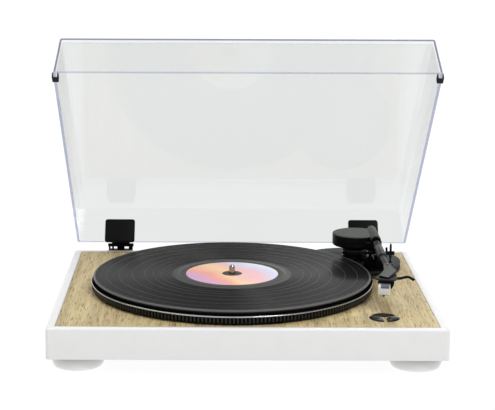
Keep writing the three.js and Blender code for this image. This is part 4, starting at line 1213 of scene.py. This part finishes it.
def build_lift(sizes):
    z0, z1 = low("lift_housing").z, high("lift_housing").z
    bm = bmesh.new()
    block(bm, (147.2, 38.2, z0), (157.6, 56.2, z1), 0.9, 3)
    block(bm, (136.4, 40.9, z0), (148.4, 55.9, z0 + 8), 0.9, 3)
    block(bm, (149.2, 40.4, z1 - 0.4), (155.6, 54.0, z1), 0.15, 1)
    for i in range(3):
        block(bm, (135.7, 42.6 + i * 4.4, z0 + 1), (137.2, 44.6 + i * 4.4, z0 + 7), 0.25, 2)
    ring = [(1.8, z0 + 7), (3.6, z0 + 7), (3.6, z0 + 9.4, 0.3), (3.1, z0 + 9.8, 0.2), (3.1, z0 + 12.4, 0.5),
            (1.8, z0 + 12.4, 0.2)]
    lathe(bm, rounded(ring, False, 3), (*LIFT_AT, 0), 40)
    # Painted shade: a thin black plate over the tonearm base in front of the lift, standing in for the shade that
    # falls on the base there.
    plate(bm, [rect(130, 158.4, 30.5, 57, 1.6, 4)], z0, z0 + 0.9, 0.2, 2)
    piece("lift_box", bm, "chassis", "black_plastic", ["deep_black"], ["lift_housing"])
    top = high("cue_bar").z
    arc = ring_points(*POST, 57.5, -64, -110, 28) + ring_points(*POST, 52.5, -110, -64, 28)
    arc = [(*point, 2.2 if k in (0, 28, 29, 57) else 0) for k, point in enumerate(arc)]
    bm = bmesh.new()
    plate(bm, [rounded(arc, True, 4)], top - 2.2, top, 0.5, 3)
    rod(bm, (*LIFT_AT, 0), 1.5, low("cue_bar").z, top - 0.8, "Z", 32, 0.3)
    block(bm, (140, 36, top - 2.1), (144, 49.4, top - 0.4), 0.5, 2)
    piece("lift_bar", bm, "cue_lift", "black_plastic", ["deep_black"], ["cue_bar"])


def build_rest(sizes):
    x, y = 166.2, 60
    z = low("rest_post").z
    profile = [(0, z), (3, z, 0.3), (3, z + 1, 0.4), (1.3, z + 1.8, 0.4), (1.1, z + 3.2, 0.3),
               (2.3, z + 3.6, 0.2), (2.3, z + 4.8, 0.2), (1.1, z + 5.2, 0.3), (1.1, z + 9, 0.2),
               (1.8, z + 9.4, 0.2), (1.8, z + 11.6, 0.2), (0, z + 11.6)]
    bm = bmesh.new()
    lathe(bm, rounded(profile, False, 4), (x, y, 0), 48)
    piece("rest_stem", bm, "chassis", "black_gloss", ["black_gloss"], ["rest_post"], 45)
    z = low("rest_clip").z
    bm = bmesh.new()
    plate(bm, [rect(x - 6.0, x + 4.6, y - 1.6, y + 1.6, 1.5, 6)], z, z + 4, 0.5, 3)
    short = [(0, z + 2), (1.25, z + 2), (1.25, z + 8.6, 0.8), (0, z + 8.6)]
    lathe(bm, rounded(short, False, 4), (x - 4.7, y, 0), 32)
    tall = [(0, z + 2), (1.3, z + 2), (1.2, z + 10.8, 2), (0.6, z + 13, 0.5), (0, z + 13.2)]
    lathe(bm, rounded(tall, False, 5), (x, y, 0), 32)
    piece("rest_fork", bm, "rest_clip", "black_plastic", ["black"], ["rest_clip"])


# ------------------------------------------------------------------ tonearm


def build_arm_housing(sizes):
    z0, z1 = low("arm_housing").z, 87.0
    r, edge, seam = 26.3, 1.3, 4.6
    bm = bmesh.new()
    drum = [(4.3, z0), (r - 1.2, z0, 0.4), (r - 0.2, z0 + 0.9, 0.6), (r, z0 + 2, 0.4), (r, z0 + seam, 0.1),
            (r - 0.35, z0 + seam + 0.2, 0.1), (r - 0.35, z0 + seam + 0.5, 0.1), (r, z0 + seam + 0.7, 0.1),
            (r, z1 - 0.1, edge), (r - 3, z1, 1), (0, z1)]
    lathe(bm, rounded(drum, False, 5) + [(0, z0 + 3.4), (4.3, z0 + 3.4)], (*POST, 0), 144)
    for face in bm.faces:
        if face.calc_center_median().z < z1 - 1:
            face.material_index = 1
    x, axis_z = REAR_AXIS
    front, rear, radius = TILT_Y + 7.1, 116.6, 5.5
    nose = [(0, front), (radius, front, 0.4), (radius, rear - 5)]
    nose += [(radius * cos(radians(a)), rear - 5 + 5 * sin(radians(a))) for a in range(12, 90, 13)]
    lathe(bm, rounded(nose + [(0, rear)], False, 3), (x, 0, axis_z), 64, "Y")
    piece("pivot_drum", bm, "arm_carrier", "graphite", ["charcoal", "black"], ["arm_housing"])
    x, axis_z = AXIS
    bm = bmesh.new()
    near, far = TILT_Y + 4, TILT_Y + 6.8
    collar = rounded([(0, near), (radius, near, 0.6), (radius, far, 0.4), (0, far)], False, 4)
    lathe(bm, collar, (x + 0.2, 0, axis_z + 0.9), 64, "Y")
    for side in (-1, 1):
        lo_x, hi_x = sorted((x + side * 4.1, x + side * 5.6))
        block(bm, (lo_x, TILT_Y - 2.6, axis_z - 3), (hi_x, TILT_Y + 5, axis_z + 3.4), 0.6, 3)
        rod(bm, (0, TILT_Y, axis_z), 1.4, *sorted((x + side * 4.8, x + side * 5.8)), "X", 32, 0.2)
    rod(bm, (0, TILT_Y, axis_z), 1, x - 5.4, x + 5.4, "X", 24, 0.1)
    block(bm, (x - 13, TILT_Y - 1.6, axis_z - 7), (x - 5, TILT_Y + 5, axis_z + 1), 0.6, 3)
    block(bm, (x - 9, TILT_Y - 1.6, axis_z - 12), (x - 1.5, TILT_Y + 4, axis_z - 5.3), 0.6, 3)
    piece("bearing_fork", bm, "arm_carrier", "black_gloss", ["deep_black"], ["arm_fork"])


def build_arm(sizes):
    x, z = AXIS
    bm = bmesh.new()
    sleeve = [(3.3, -11.5), (4.1, -11.5, 0.3), (4.8, -10.6, 0.4), (4.8, -8.6, 0.1), (4.5, -8.4, 0.1),
              (4.5, -7.8, 0.1), (4.8, -7.6, 0.1), (4.8, 26.0, 0.3), (4.2, 26.7, 0.3), (3.2, 26.7), (3.2, 43.4),
              (0, 43.4)]
    lathe(bm, rounded(sleeve, False, 4) + [(0, 0.5), (3.3, 0.5)], (x, 0, z), 72, "Y")
    block(bm, (x - 3, 43, z - 2.4), (x + 3, TILT_Y + 0.4, z + 2.4), 0.4, 2)
    rod(bm, (0, TILT_Y, z), 2.4, x - 3, x + 3, "X", 40, 0.4)
    piece("sleeve", bm, "arm", "slate_metal", ["slate"], ["arm_sleeve"])
    bm = bmesh.new()
    ring = rounded([(3.5, 27), (4.9, 27, 0.4), (4.9, 28.2, 0.3), (3.5, 28.2)], False, 4)
    lathe(bm, ring, (x, 0, z), 72, "Y")
    piece("sleeve_ring", bm, "arm", "steel", ["ring"], ["bearing_ring"])
    bm = bmesh.new()
    collar = [(3.5, 28.5), (4.4, 28.5, 0.2), (4.8, 29, 0.3), (4.8, 48.6, 0.5), (4.35, 48.6), (4.35, 42.5),
              (3.5, 42.5)]
    lathe(bm, rounded(collar, False, 4), (x, 0, z), 72, "Y")
    piece("sleeve_collar", bm, "arm", "black_gloss", ["black"], ["arm_collar"])
    bm = bmesh.new()
    tube = [(0, -57.6), (3, -57.6, 0.2), (3, -1.2), (3, -0.6, 0.2), (0, -0.6)]
    lathe(bm, rounded(tube, False, 3), (x, 0, z), 64, "Y")
    piece("tube", bm, "arm", "graphite", ["tube"], ["arm_tube"])


def finger_taper(t):
    """Rounds off the last tenth of the finger lift."""
    return sqrt(max(0.12, 1 - max(0, (t - 0.9) / 0.1) ** 2))


def build_head(sizes):
    z0, flange_top, z1 = 77.6, 79.3, 86.2
    flange = [(-3.6, 3, 0.4), (-4.2, -9, 4), (-11, -33.6, 1), (-10.3, -35.4, 0.6), (-7, -38.2, 1),
              (9.2, -39.3, 1), (12, -36, 1.5), (11.6, -24, 4), (10.3, -13.2, 2.5), (7.6, -11.2, 2),
              (3.9, -3, 3), (3.9, 3, 0.4)]
    spine = [(-3.6, 3, 0.4), (-3.2, -8, 5), (-2.2, -15.6, 5), (-6.3, -32.9, 0.8), (3.5, -38.2, 0.8),
             (10.1, -18.5, 1.5), (10, -13.2, 2), (7.6, -11.4, 1.5), (3.9, -3, 3), (3.9, 3, 0.4)]
    rise, slope = bmesh.new(), bmesh.new()
    plate(rise, [rounded(spine, True, 4)], z0 + 0.4, z1, 0.05, 1)
    tilt = Matrix.Translation((0, 1.5, z1 - 0.4)) @ Matrix.Rotation(0.117, 4, "X")
    block(slope, (-30, -60, 0), (30, 6, 12), 0, matrix=tilt)
    rise = carve(rise, [slope], bevel=0.6)
    bm = bmesh.new()
    rise.normal_update()
    # Painted shade: the spine's steep faces towards the front take the black finish, while its top keeps the headshell
    # paint.
    for face in rise.faces:
        face.material_index = 2 if abs(face.normal.z) < 0.35 and face.calc_center_median().y < -12 else 0
    absorb(bm, rise, HEAD, finish=None)
    plate(bm, [rounded(flange, True, 4)], z0, flange_top, 0.4, 3, 1, matrix=HEAD)
    rod(bm, (AXIS[0], 0, AXIS[1]), 3.9, -57.4, -52.4, "Y", 48, 0.4)
    finishes = ["headshell", "deck_metal", "black"]
    piece("headshell_body", bm, "arm", "graphite", finishes, ["headshell"], 36)
    bm = bmesh.new()
    block(bm, (-6.8, -38.4, 74.5), (9.2, -14, 77.3), 0.3, 2, matrix=HEAD)
    block(bm, (-7.4, -39.4, 75), (9.8, -37.2, 76.3), 0.25, 2, matrix=HEAD)
    lug = rounded([(6.1, 75, 0), (6.1, 68.6, 0.5), (7.4, 69.4, 1), (9.2, 72.6, 1), (9.2, 75, 0)], True, 4)
    plate(bm, [lug], 30, 37.6, 0.2, 2, matrix=HEAD @ FRONTWARD)
    piece("mount_plate", bm, "arm", "slate_metal", ["black"], ["cartridge_mount"])
    side = [(-48.6, 64.4, 0.8), (-50.4, 66, 1.0), (-50.4, 74.2, 0.5), (-26, 74.2, 0.5), (-26, 67.5, 1.2),
            (-35, 64.4, 2)]
    bm = bmesh.new()
    plate(bm, [rounded(side, True, 4)], -6.15, 5.85, 0.8, 4, matrix=HEAD @ AXES["X"])
    block(bm, (-3.2, -50.7, 72.4), (5.4, -40.3, 75), 0.5, 3, 1, matrix=HEAD)
    piece("cartridge_shell", bm, "arm", "white_part", ["cream", "brow"], ["cartridge"], 36)
    bm = bmesh.new()
    rod(bm, (0, 0, 65.1), 0.5, -48.2, -38.4, "Y", 24, 0.1, matrix=HEAD)
    lathe(bm, [(0, 63.5), (0.25, 64.1), (0.65, 65.0), (0, 65.2)], (0, -47.6, 0), 24, matrix=HEAD)
    block(bm, (-0.9, -50.0, 63.7), (0.9, -47.4, 65.4), 0.3, 2, 1, matrix=HEAD)
    piece("needle", bm, "arm", "steel", ["steel", "black"], ["stylus"])
    path = [(12.2, -31, 78.7), (15, -31.4, 79), (20, -31.8, 80.5), (24, -32.2, 81), (28.8, -32.6, 78.7),
            (29.8, -32.7, 77.9)]
    section = [(1.7 * cos(tau * k / 24), 1.4 * sin(tau * k / 24)) for k in range(24)]
    bm = bmesh.new()
    swept(bm, smooth_path(path, 10), section, finger_taper, HEAD)
    piece("lift_finger", bm, "arm", "black_plastic", ["black"], ["finger_lift"], 50)


# ------------------------------------------------------------------ buttons


def build_buttons(sizes):
    rise = sizes.petal_rise / MM
    z0, brink = DECK - 1.0, 0.25
    levels = [(0.97, z0), (1.0, z0 + 0.15), (1.0, DECK + brink)]
    for k in range(1, 15):
        scale = 1 - (k / 15) ** 1.7
        levels.append((scale, DECK + brink + (rise - brink) * sqrt(1 - scale ** 2.0)))
    for name, degrees in PETALS.items():
        outline = petal_outline(degrees)
        cx = sum(x for x, _ in outline) / len(outline)
        cy = sum(y for _, y in outline) / len(outline)
        bm = bmesh.new()
        rings = []
        for scale, z in levels:
            ring = [(cx + (x - cx) * scale, cy + (y - cy) * scale, z) for x, y in outline]
            rings.append([bm.verts.new(point) for point in ring])
        skin(bm, rings, ends=(0,))
        crown = bm.verts.new((cx, cy, DECK + rise))
        for a, b in zip(rings[-1], rings[-1][1:] + rings[-1][:1]):
            bm.faces.new([a, b, crown])
        spot = (*polar(STEM_REACH, radians(degrees), *BUTTON_AT), 0)
        rod(bm, spot, 4, DECK - 9, z0 + 0.3, "Z", 32, 0.2)
        piece(f"petal_{name}", bm, f"button_{name}", "black_gloss", ["petal"], [f"button_{name}"], 45)


# ------------------------------------------------------------------ rear panel


def build_rear_panel(sizes):
    face = REAR - 0.6
    holes = [ring_points(x, SOCKET_Z, 5, steps=40) for x in JACKS.values()]
    holes += [ring_points(x, SOCKET_Z, r, steps=40) for x, r in ((GROUND_X, 2.2), (INLET_X, 4.4))]
    holes.append(rect(153.5, 168.5, 22.6, 33.4, 0.6, 3))
    bm = bmesh.new()
    plate(bm, [rect(50, 180, 18.2, 38, 1, 3)] + holes, REAR - 4.8, REAR - 3.3, 0.05, 1, matrix=MIRRORED)
    plate(bm, [rect(52.3, 177.7, 19.3, 36.7, 0.8, 4)] + holes, REAR - 4.0, face, 0.3, 2, matrix=MIRRORED)
    piece("connector_panel", bm, "chassis", "black_plastic", ["black"], ["connector_plate"])
    for tag, paint, slot in (("left", "cream", "white_part"), ("right", "red", "red_part")):
        x = JACKS[tag]
        bm = bmesh.new()
        barrel = [(1.7, REAR - 3.5), (1.7, REAR + 5.5, 0.2), (2.9, REAR + 5.5, 0.1), (3.0, REAR + 5.1, 0.1),
                  (4.1, REAR + 5.0, 0.3), (4.1, REAR + 1, 0.1), (4.6, REAR + 1, 0.2), (4.6, REAR - 0.3),
                  (4.1, REAR - 0.3), (4.1, REAR - 9), (0, REAR - 9), (0, REAR - 3.5)]
        lathe(bm, rounded(barrel, False, 3), (x, 0, SOCKET_Z), 56, "Y")
        rod(bm, (x, 0, SOCKET_Z), 0.9, REAR - 3.6, REAR + 1, "Y", 16, 0.1, 1)
        for part in bm.faces:
            c = part.calc_center_median()
            if hypot(c.x - x, c.z - SOCKET_Z) > 4.35 or c.y > REAR + 5.02:
                part.material_index = 1
        piece(f"phono_jack_{tag}", bm, "chassis", slot, [paint, "chrome"], [f"phono_socket_{tag}"])
    bm = bmesh.new()
    rod(bm, (GROUND_X, 0, SOCKET_Z), 1.8, REAR - 9, REAR + 7, "Y", 32, 0.4)
    rod(bm, (GROUND_X, 0, SOCKET_Z), 3.5, REAR + 1, REAR + 6, "Y", 48, 0.5)
    piece("ground_post", bm, "chassis", "steel", ["steel"], ["ground_terminal"])
    place = PLAN @ Matrix.Translation((GROUND_X, REAR + 3.5, SOCKET_Z)) @ Matrix.Rotation(-pi / 2, 4, "X")
    knurl = {"count": 26, "radius": 0.0036, "size": (0.0009, 0.0006, 0.0040)}
    grown_piece("ground_knurl", "radial", "steel", place, "chassis", "steel", **knurl)
    bm = bmesh.new()
    well = [(0, REAR - 10), (4, REAR - 10), (4, REAR - 0.4, 0.3), (2.9, REAR - 0.4, 0.3), (2.9, REAR - 8),
            (0, REAR - 8)]
    lathe(bm, rounded(well, False, 3), (INLET_X, 0, SOCKET_Z), 56, "Y")
    rod(bm, (INLET_X, 0, SOCKET_Z), 0.9, REAR - 9, REAR - 1.6, "Y", 24, 0.4, 1)
    piece("inlet_well", bm, "chassis", "black_plastic", ["black", "steel"], ["power_inlet"])
    spots = [(-x, SOCKET_Z, 0) for x in (56.5, 116, 146, 173.5)]
    outward = PLAN @ Matrix.Translation((0, face + 0.3, 0)) @ BACKWARD
    screw = {"radius": sizes.screw_head, "height": 0.0009, "cut": 0.0007}
    grown_piece("panel_screws", "screws", "steel", outward, "chassis", "steel", spots, **screw)


def build_switch(sizes):
    section = []
    for degrees in range(0, 360, 12):
        y, z = polar(4.8, radians(degrees))
        section.append((min(y, 1.6 + 0.2 * abs(z)), z))
    lean = Matrix.Translation((0, REAR - 3, SOCKET_Z)) @ Matrix.Rotation(-0.12, 4, "X")
    bm = bmesh.new()
    plate(bm, [section], 154.2, 167.8, 0.3, 2, matrix=lean @ AXES["X"])
    piece("rocker", bm, "power_switch", "black_gloss", ["black"], ["power_switch"])


# ------------------------------------------------------------------ hinges and cover


def build_hinges(sizes):
    lean = Matrix.Rotation(atan2(COVER_DRAFT, COVER_HEIGHT), 4, "X")
    for tag, side in (("left", -1), ("right", 1)):
        shift = Matrix.Translation((side * HINGE_X, 0, 0))
        # Clamping plate inside the cover's back wall.
        inside = LID @ Matrix.Translation((side * HINGE_X, -3.3, 0)) @ lean
        bm = bmesh.new()
        plate(bm, [rect(-17.75, 17.75, -2.2, 27.4, 3, 6)], 0, 4, 0.9, 3, matrix=FRONTWARD)
        for dx, up in HINGE_SCREWS:
            rod(bm, (dx, 0, up), 1.3, -1, 2.6, "Y", 20, 0.1)
        nodes = [f"hinge_pad_{tag}"]
        piece(f"hinge_plate_{tag}", bm, "lid", "black_plastic", ["black"], nodes, place=inside)
        # Knuckle outside the wall, with cheeks that hold the pin.
        bm = bmesh.new()
        block(bm, (-15, 0, 5), (15, 0.9, 30), 0.3, 2, matrix=Matrix.Translation((0, 0.3, 0)) @ lean)
        cheek = rounded([(-0.6, 13, 0.3), (7.6, 18, 2), (7.6, 26.6, 2), (-1.9, 28, 0.3)], True, 4)
        for s in (-1, 1):
            plate(bm, [cheek], s * 12.9 - 1.3, s * 12.9 + 1.3, 0.3, 2, matrix=AXES["X"])
            rod(bm, (0, RIM_BEHIND, RIM_UNDER), 2.2, *sorted((s * 13.6, s * 14.6)), "X", 32, 0.3, 1)
        rod(bm, (0, RIM_BEHIND, RIM_UNDER), 1.2, -13.5, 13.5, "X", 24, 0.1, 1)
        piece(f"hinge_cheeks_{tag}", bm, "lid", "black_plastic", ["black", "steel"],
              [f"hinge_knuckle_{tag}"], place=LID @ shift)
        spots = [(dx, up, 0) for dx, up in HINGE_SCREWS]
        wall = LID @ shift @ Matrix.Translation((0, 0.3, 0)) @ lean
        outward = wall @ Matrix.Translation((0, 1.2, 0)) @ BACKWARD
        grown_piece(f"hinge_screws_{tag}", "screws", "steel", outward, "lid", "steel", spots, **HINGE_SCREW)
        build_bracket(tag, PLAN @ shift)


def build_bracket(tag, place):
    pin_y, pin_z = LID_PIN.y - MID_Y, LID_PIN.z
    y0, shelf = REAR + 0.3, 45.2
    bm = bmesh.new()
    block(bm, (-14.2, y0, 38), (14.2, y0 + 2.5, 46.7), 0.6, 3)
    block(bm, (-14.2, y0 + 1, 43), (14.2, pin_y + 1.6, shelf), 0.4, 2)
    rod(bm, (0, pin_y, 49.8), 2.0, -15.4, 15.4, "X", 48, 0.5)
    edges = (-14.6, -12.6, -10.6, -8.4, -4.4, 4.4, 9.6, 14.4)
    for x0, x1 in zip(edges[::2], edges[1::2]):
        block(bm, (x0, pin_y - 1.6, 44), (x1, pin_y + 1.6, 49.8), 0.25, 2)
    block(bm, (-10.8, pin_y - 1.8, 49), (10.8, pin_y + 1.8, pin_z), 0.3, 2)
    bore = rounded([(1.5, -10.8), (2.9, -10.8, 0.3), (2.9, 10.8, 0.3), (1.5, 10.8)], False, 3)
    lathe(bm, bore, (0, pin_y, pin_z), 48, "X")
    nodes = [f"hinge_bracket_{tag}"]
    piece(f"hinge_arm_{tag}", bm, "chassis", "black_plastic", ["black"], nodes, place=place)
    spots = [(dx, 42.2, 0) for dx in (-8, 8)]
    outward = place @ Matrix.Translation((0, y0 + 2.8, -1.6)) @ BACKWARD
    grown_piece(f"bracket_screws_{tag}", "screws", "steel", outward, "chassis", "steel", spots, **HINGE_SCREW)


def split_by(bm, point, normal):
    """Adds edges where a plane crosses the body, without changing its shape."""
    everything = bm.verts[:] + bm.edges[:] + bm.faces[:]
    bmesh.ops.bisect_plane(bm, geom=everything, plane_co=point, plane_no=normal)


def build_cover(sizes):
    w, d, h, draft, wall = 196.3, 171.9, COVER_HEIGHT, COVER_DRAFT, 3.0
    edge, band = 1.3, 2.9

    def pull(z):
        """How far a wall has drawn in at height z."""
        return draft * z / h

    inner_top = h - wall
    levels = [(w - wall - pull(inner_top) - 1, d - wall - pull(inner_top) - 1, 1.5, inner_top)]
    levels.append((w - wall - pull(inner_top), d - wall - pull(inner_top), 1.8, inner_top - 1))
    levels += [(w - wall, d - wall, 1.8, 0.25), (w - wall + 0.25, d - wall + 0.25, 1.9, 0)]
    levels += [(w - 0.25, d - 0.25, 2.6, 0), (w, d, 2.8, 0.25)]
    for k in range(5):
        a = radians(90 * k / 4)
        z = h - edge + edge * sin(a)
        inset = edge * (1 - cos(a))
        levels.append((w - pull(z) - inset, d - pull(z) - inset, 2.8, z))
    bm = bmesh.new()
    stack(bm, levels, 4)
    slant = atan2(draft, h)
    for side in (-1, 1):
        split_by(bm, (side * (w - band), 0, 0), (side * cos(slant), 0, sin(slant)))
    split_by(bm, (0, 0, h - band), (0, 0, 1))
    bmesh.ops.recalc_face_normals(bm, faces=bm.faces)
    bm.normal_update()
    for face in bm.faces:
        c, n = face.calc_center_median(), face.normal
        outside = c.y < 1.2 + pull(c.z) - d and n.y < -0.05
        if c.z < 0.3:
            face.material_index = 2 if abs(c.x) > w - wall - 0.1 else 3
        elif outside and (abs(c.x) > w - pull(c.z) - band or c.z > h - band):
            face.material_index = 1
        elif abs(n.z) < 0.5 and c.y < d - 12:
            face.material_index = 5 if abs(n.x) > 0.5 else 4
    bmesh.ops.translate(bm, vec=(0, -d, 0), verts=bm.verts)
    finishes = ["clear", "navy_edge", "side_edge", "pale_edge", "clear_wall", "clear_side"]
    piece("clear_cover", bm, "lid", "clear_acrylic", finishes, ["dust_cover"], 25, place=LID)
    for tag, side in (("left", -1), ("right", 1)):
        bm = bmesh.new()
        y = -2 * d + 13
        path = [(-1.6, -0.9, 0.7), (5.0, -0.9, 0.7), (5.0, 5.6, 0.4), (3.8, 5.6, 0.3), (3.8, -0.3),
                (-0.3, -0.3), (-0.3, 5.6, 0.3), (-1.6, 5.6, 0.4)]
        turn = Matrix.Translation((side * w, 0, 0)) @ (BACKWARD if side > 0 else MIRRORED)
        plate(bm, [rounded(path, True, 3)], y - 4.25, y + 4.25, 0.3, 2, matrix=turn)
        piece(f"rim_clip_{tag}", bm, "lid", "rubber", ["rubber"], [f"rim_bumper_{tag}"], place=LID)


# ------------------------------------------------------------------ parts inside


INSIDE = {
    "spindle_bearing": "steel", "motor": "steel", "motor_pulley": "cream", "drive_belt": "rubber",
    "pivot_shaft": "steel", "button_block": "black", "circuit_board": "green",
}


def finish_inside(sizes):
    for node, finish in INSIDE.items():
        slots = frame["nodes"][node].data.materials
        slots.clear()
        slots.append(FINISHES[finish])


# ------------------------------------------------------------------ add-on


def run_builder(builder, context):
    builder(context.scene.record_player_sizes)
    return {"FINISHED"}


class RECORDPLAYER_OT_stage(bpy.types.Operator):
    """Make the floor, the soft lights and the camera"""

    bl_idname = "record_player.stage"
    bl_label = "Stage"

    def execute(self, context):
        make_stage()
        return {"FINISHED"}


class RECORDPLAYER_OT_finishes(bpy.types.Operator):
    """Make the finishes from the colours in the panel"""

    bl_idname = "record_player.finishes"
    bl_label = "Finishes"

    def execute(self, context):
        make_finishes(context.scene.record_player_colours)
        return {"FINISHED"}


class RECORDPLAYER_OT_plinth(bpy.types.Operator):
    """Build the white plinth with its soft upper edge and the recess for the deck"""

    bl_idname = "record_player.plinth"
    bl_label = "Plinth"

    def execute(self, context):
        return run_builder(build_plinth, context)


class RECORDPLAYER_OT_deck(bpy.types.Operator):
    """Build the oak deck panel with its cut-outs"""

    bl_idname = "record_player.deck"
    bl_label = "Oak Deck"

    def execute(self, context):
        return run_builder(build_deck, context)


class RECORDPLAYER_OT_feet(bpy.types.Operator):
    """Build the four turned feet and their rubber soles"""

    bl_idname = "record_player.feet"
    bl_label = "Feet"

    def execute(self, context):
        return run_builder(build_feet, context)


class RECORDPLAYER_OT_underside(bpy.types.Operator):
    """Build the slotted board under the plinth and its screws"""

    bl_idname = "record_player.underside"
    bl_label = "Underside"

    def execute(self, context):
        return run_builder(build_underside, context)


class RECORDPLAYER_OT_platter(bpy.types.Operator):
    """Build the platter with its bright lip, ribbed skirt and mat"""

    bl_idname = "record_player.platter"
    bl_label = "Platter"

    def execute(self, context):
        return run_builder(build_platter, context)


class RECORDPLAYER_OT_record(bpy.types.Operator):
    """Build the record, its paper label and the spindle"""

    bl_idname = "record_player.record"
    bl_label = "Record"

    def execute(self, context):
        return run_builder(build_record, context)


class RECORDPLAYER_OT_arm_base(bpy.types.Operator):
    """Build the two-tier tonearm base and the ringed column"""

    bl_idname = "record_player.arm_base"
    bl_label = "Tonearm Base"

    def execute(self, context):
        return run_builder(build_arm_base, context)


class RECORDPLAYER_OT_lift(bpy.types.Operator):
    """Build the arm lift: its housing and the curved bar"""

    bl_idname = "record_player.lift"
    bl_label = "Arm Lift"

    def execute(self, context):
        return run_builder(build_lift, context)


class RECORDPLAYER_OT_rest(bpy.types.Operator):
    """Build the arm rest's post and turning clip"""

    bl_idname = "record_player.rest"
    bl_label = "Arm Rest"

    def execute(self, context):
        return run_builder(build_rest, context)


class RECORDPLAYER_OT_arm_housing(bpy.types.Operator):
    """Build the pivot drum with its rear barrel, and the bearing fork"""

    bl_idname = "record_player.arm_housing"
    bl_label = "Pivot Housing"

    def execute(self, context):
        return run_builder(build_arm_housing, context)


class RECORDPLAYER_OT_arm(bpy.types.Operator):
    """Build the arm's sleeve, ring and tube"""

    bl_idname = "record_player.arm"
    bl_label = "Tonearm"

    def execute(self, context):
        return run_builder(build_arm, context)


class RECORDPLAYER_OT_head(bpy.types.Operator):
    """Build the headshell, cartridge, needle and finger lift"""

    bl_idname = "record_player.head"
    bl_label = "Headshell"

    def execute(self, context):
        return run_builder(build_head, context)


class RECORDPLAYER_OT_buttons(bpy.types.Operator):
    """Build the three domed buttons"""

    bl_idname = "record_player.buttons"
    bl_label = "Buttons"

    def execute(self, context):
        return run_builder(build_buttons, context)


class RECORDPLAYER_OT_rear(bpy.types.Operator):
    """Build the rear panel: sockets, ground post, inlet, screws and switch"""

    bl_idname = "record_player.rear"
    bl_label = "Rear Panel"

    def execute(self, context):
        build_switch(context.scene.record_player_sizes)
        return run_builder(build_rear_panel, context)


class RECORDPLAYER_OT_hinges(bpy.types.Operator):
    """Build both cover hinges"""

    bl_idname = "record_player.hinges"
    bl_label = "Hinges"

    def execute(self, context):
        return run_builder(build_hinges, context)


class RECORDPLAYER_OT_cover(bpy.types.Operator):
    """Build the clear cover and the rubber clips on its rim"""

    bl_idname = "record_player.cover"
    bl_label = "Clear Cover"

    def execute(self, context):
        return run_builder(build_cover, context)


class RECORDPLAYER_OT_inside(bpy.types.Operator):
    """Finish the motor, bearing and board inside the plinth"""

    bl_idname = "record_player.inside"
    bl_label = "Parts Inside"

    def execute(self, context):
        return run_builder(finish_inside, context)


# In the order they are written above, which is the order they run in.
OPERATORS = [cls for name, cls in list(globals().items()) if name.startswith("RECORDPLAYER_OT_")]


class RECORDPLAYER_PT_panel(bpy.types.Panel):
    """Sizes, colours and the pieces in the order they are built"""

    bl_label = "Record Player"
    bl_idname = "RECORDPLAYER_PT_panel"
    bl_space_type = "VIEW_3D"
    bl_region_type = "UI"
    bl_category = "Record Player"

    def draw(self, context):
        layout = self.layout
        for group in (context.scene.record_player_sizes, context.scene.record_player_colours):
            box = layout.box()
            for name in group.__annotations__:
                box.prop(group, name)
        for operator in OPERATORS:
            layout.operator(operator.bl_idname)


CLASSES = (RecordPlayerSizes, RecordPlayerColours, *OPERATORS, RECORDPLAYER_PT_panel)


def register():
    for cls in CLASSES:
        bpy.utils.register_class(cls)
    bpy.types.Scene.record_player_sizes = PointerProperty(type=RecordPlayerSizes)
    bpy.types.Scene.record_player_colours = PointerProperty(type=RecordPlayerColours)


def unregister():
    del bpy.types.Scene.record_player_colours
    del bpy.types.Scene.record_player_sizes
    for cls in reversed(CLASSES):
        bpy.utils.unregister_class(cls)


def main():
    register()
    for operator in OPERATORS:
        group, name = operator.bl_idname.split(".")
        getattr(getattr(bpy.ops, group), name)()
    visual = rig.bounds()
    with open("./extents.json", "w") as out:
        json.dump({"cad": [list(c) for c in CAD_BOX], "visual": [list(c) for c in visual]}, out)


if __name__ == "__main__":
    main()
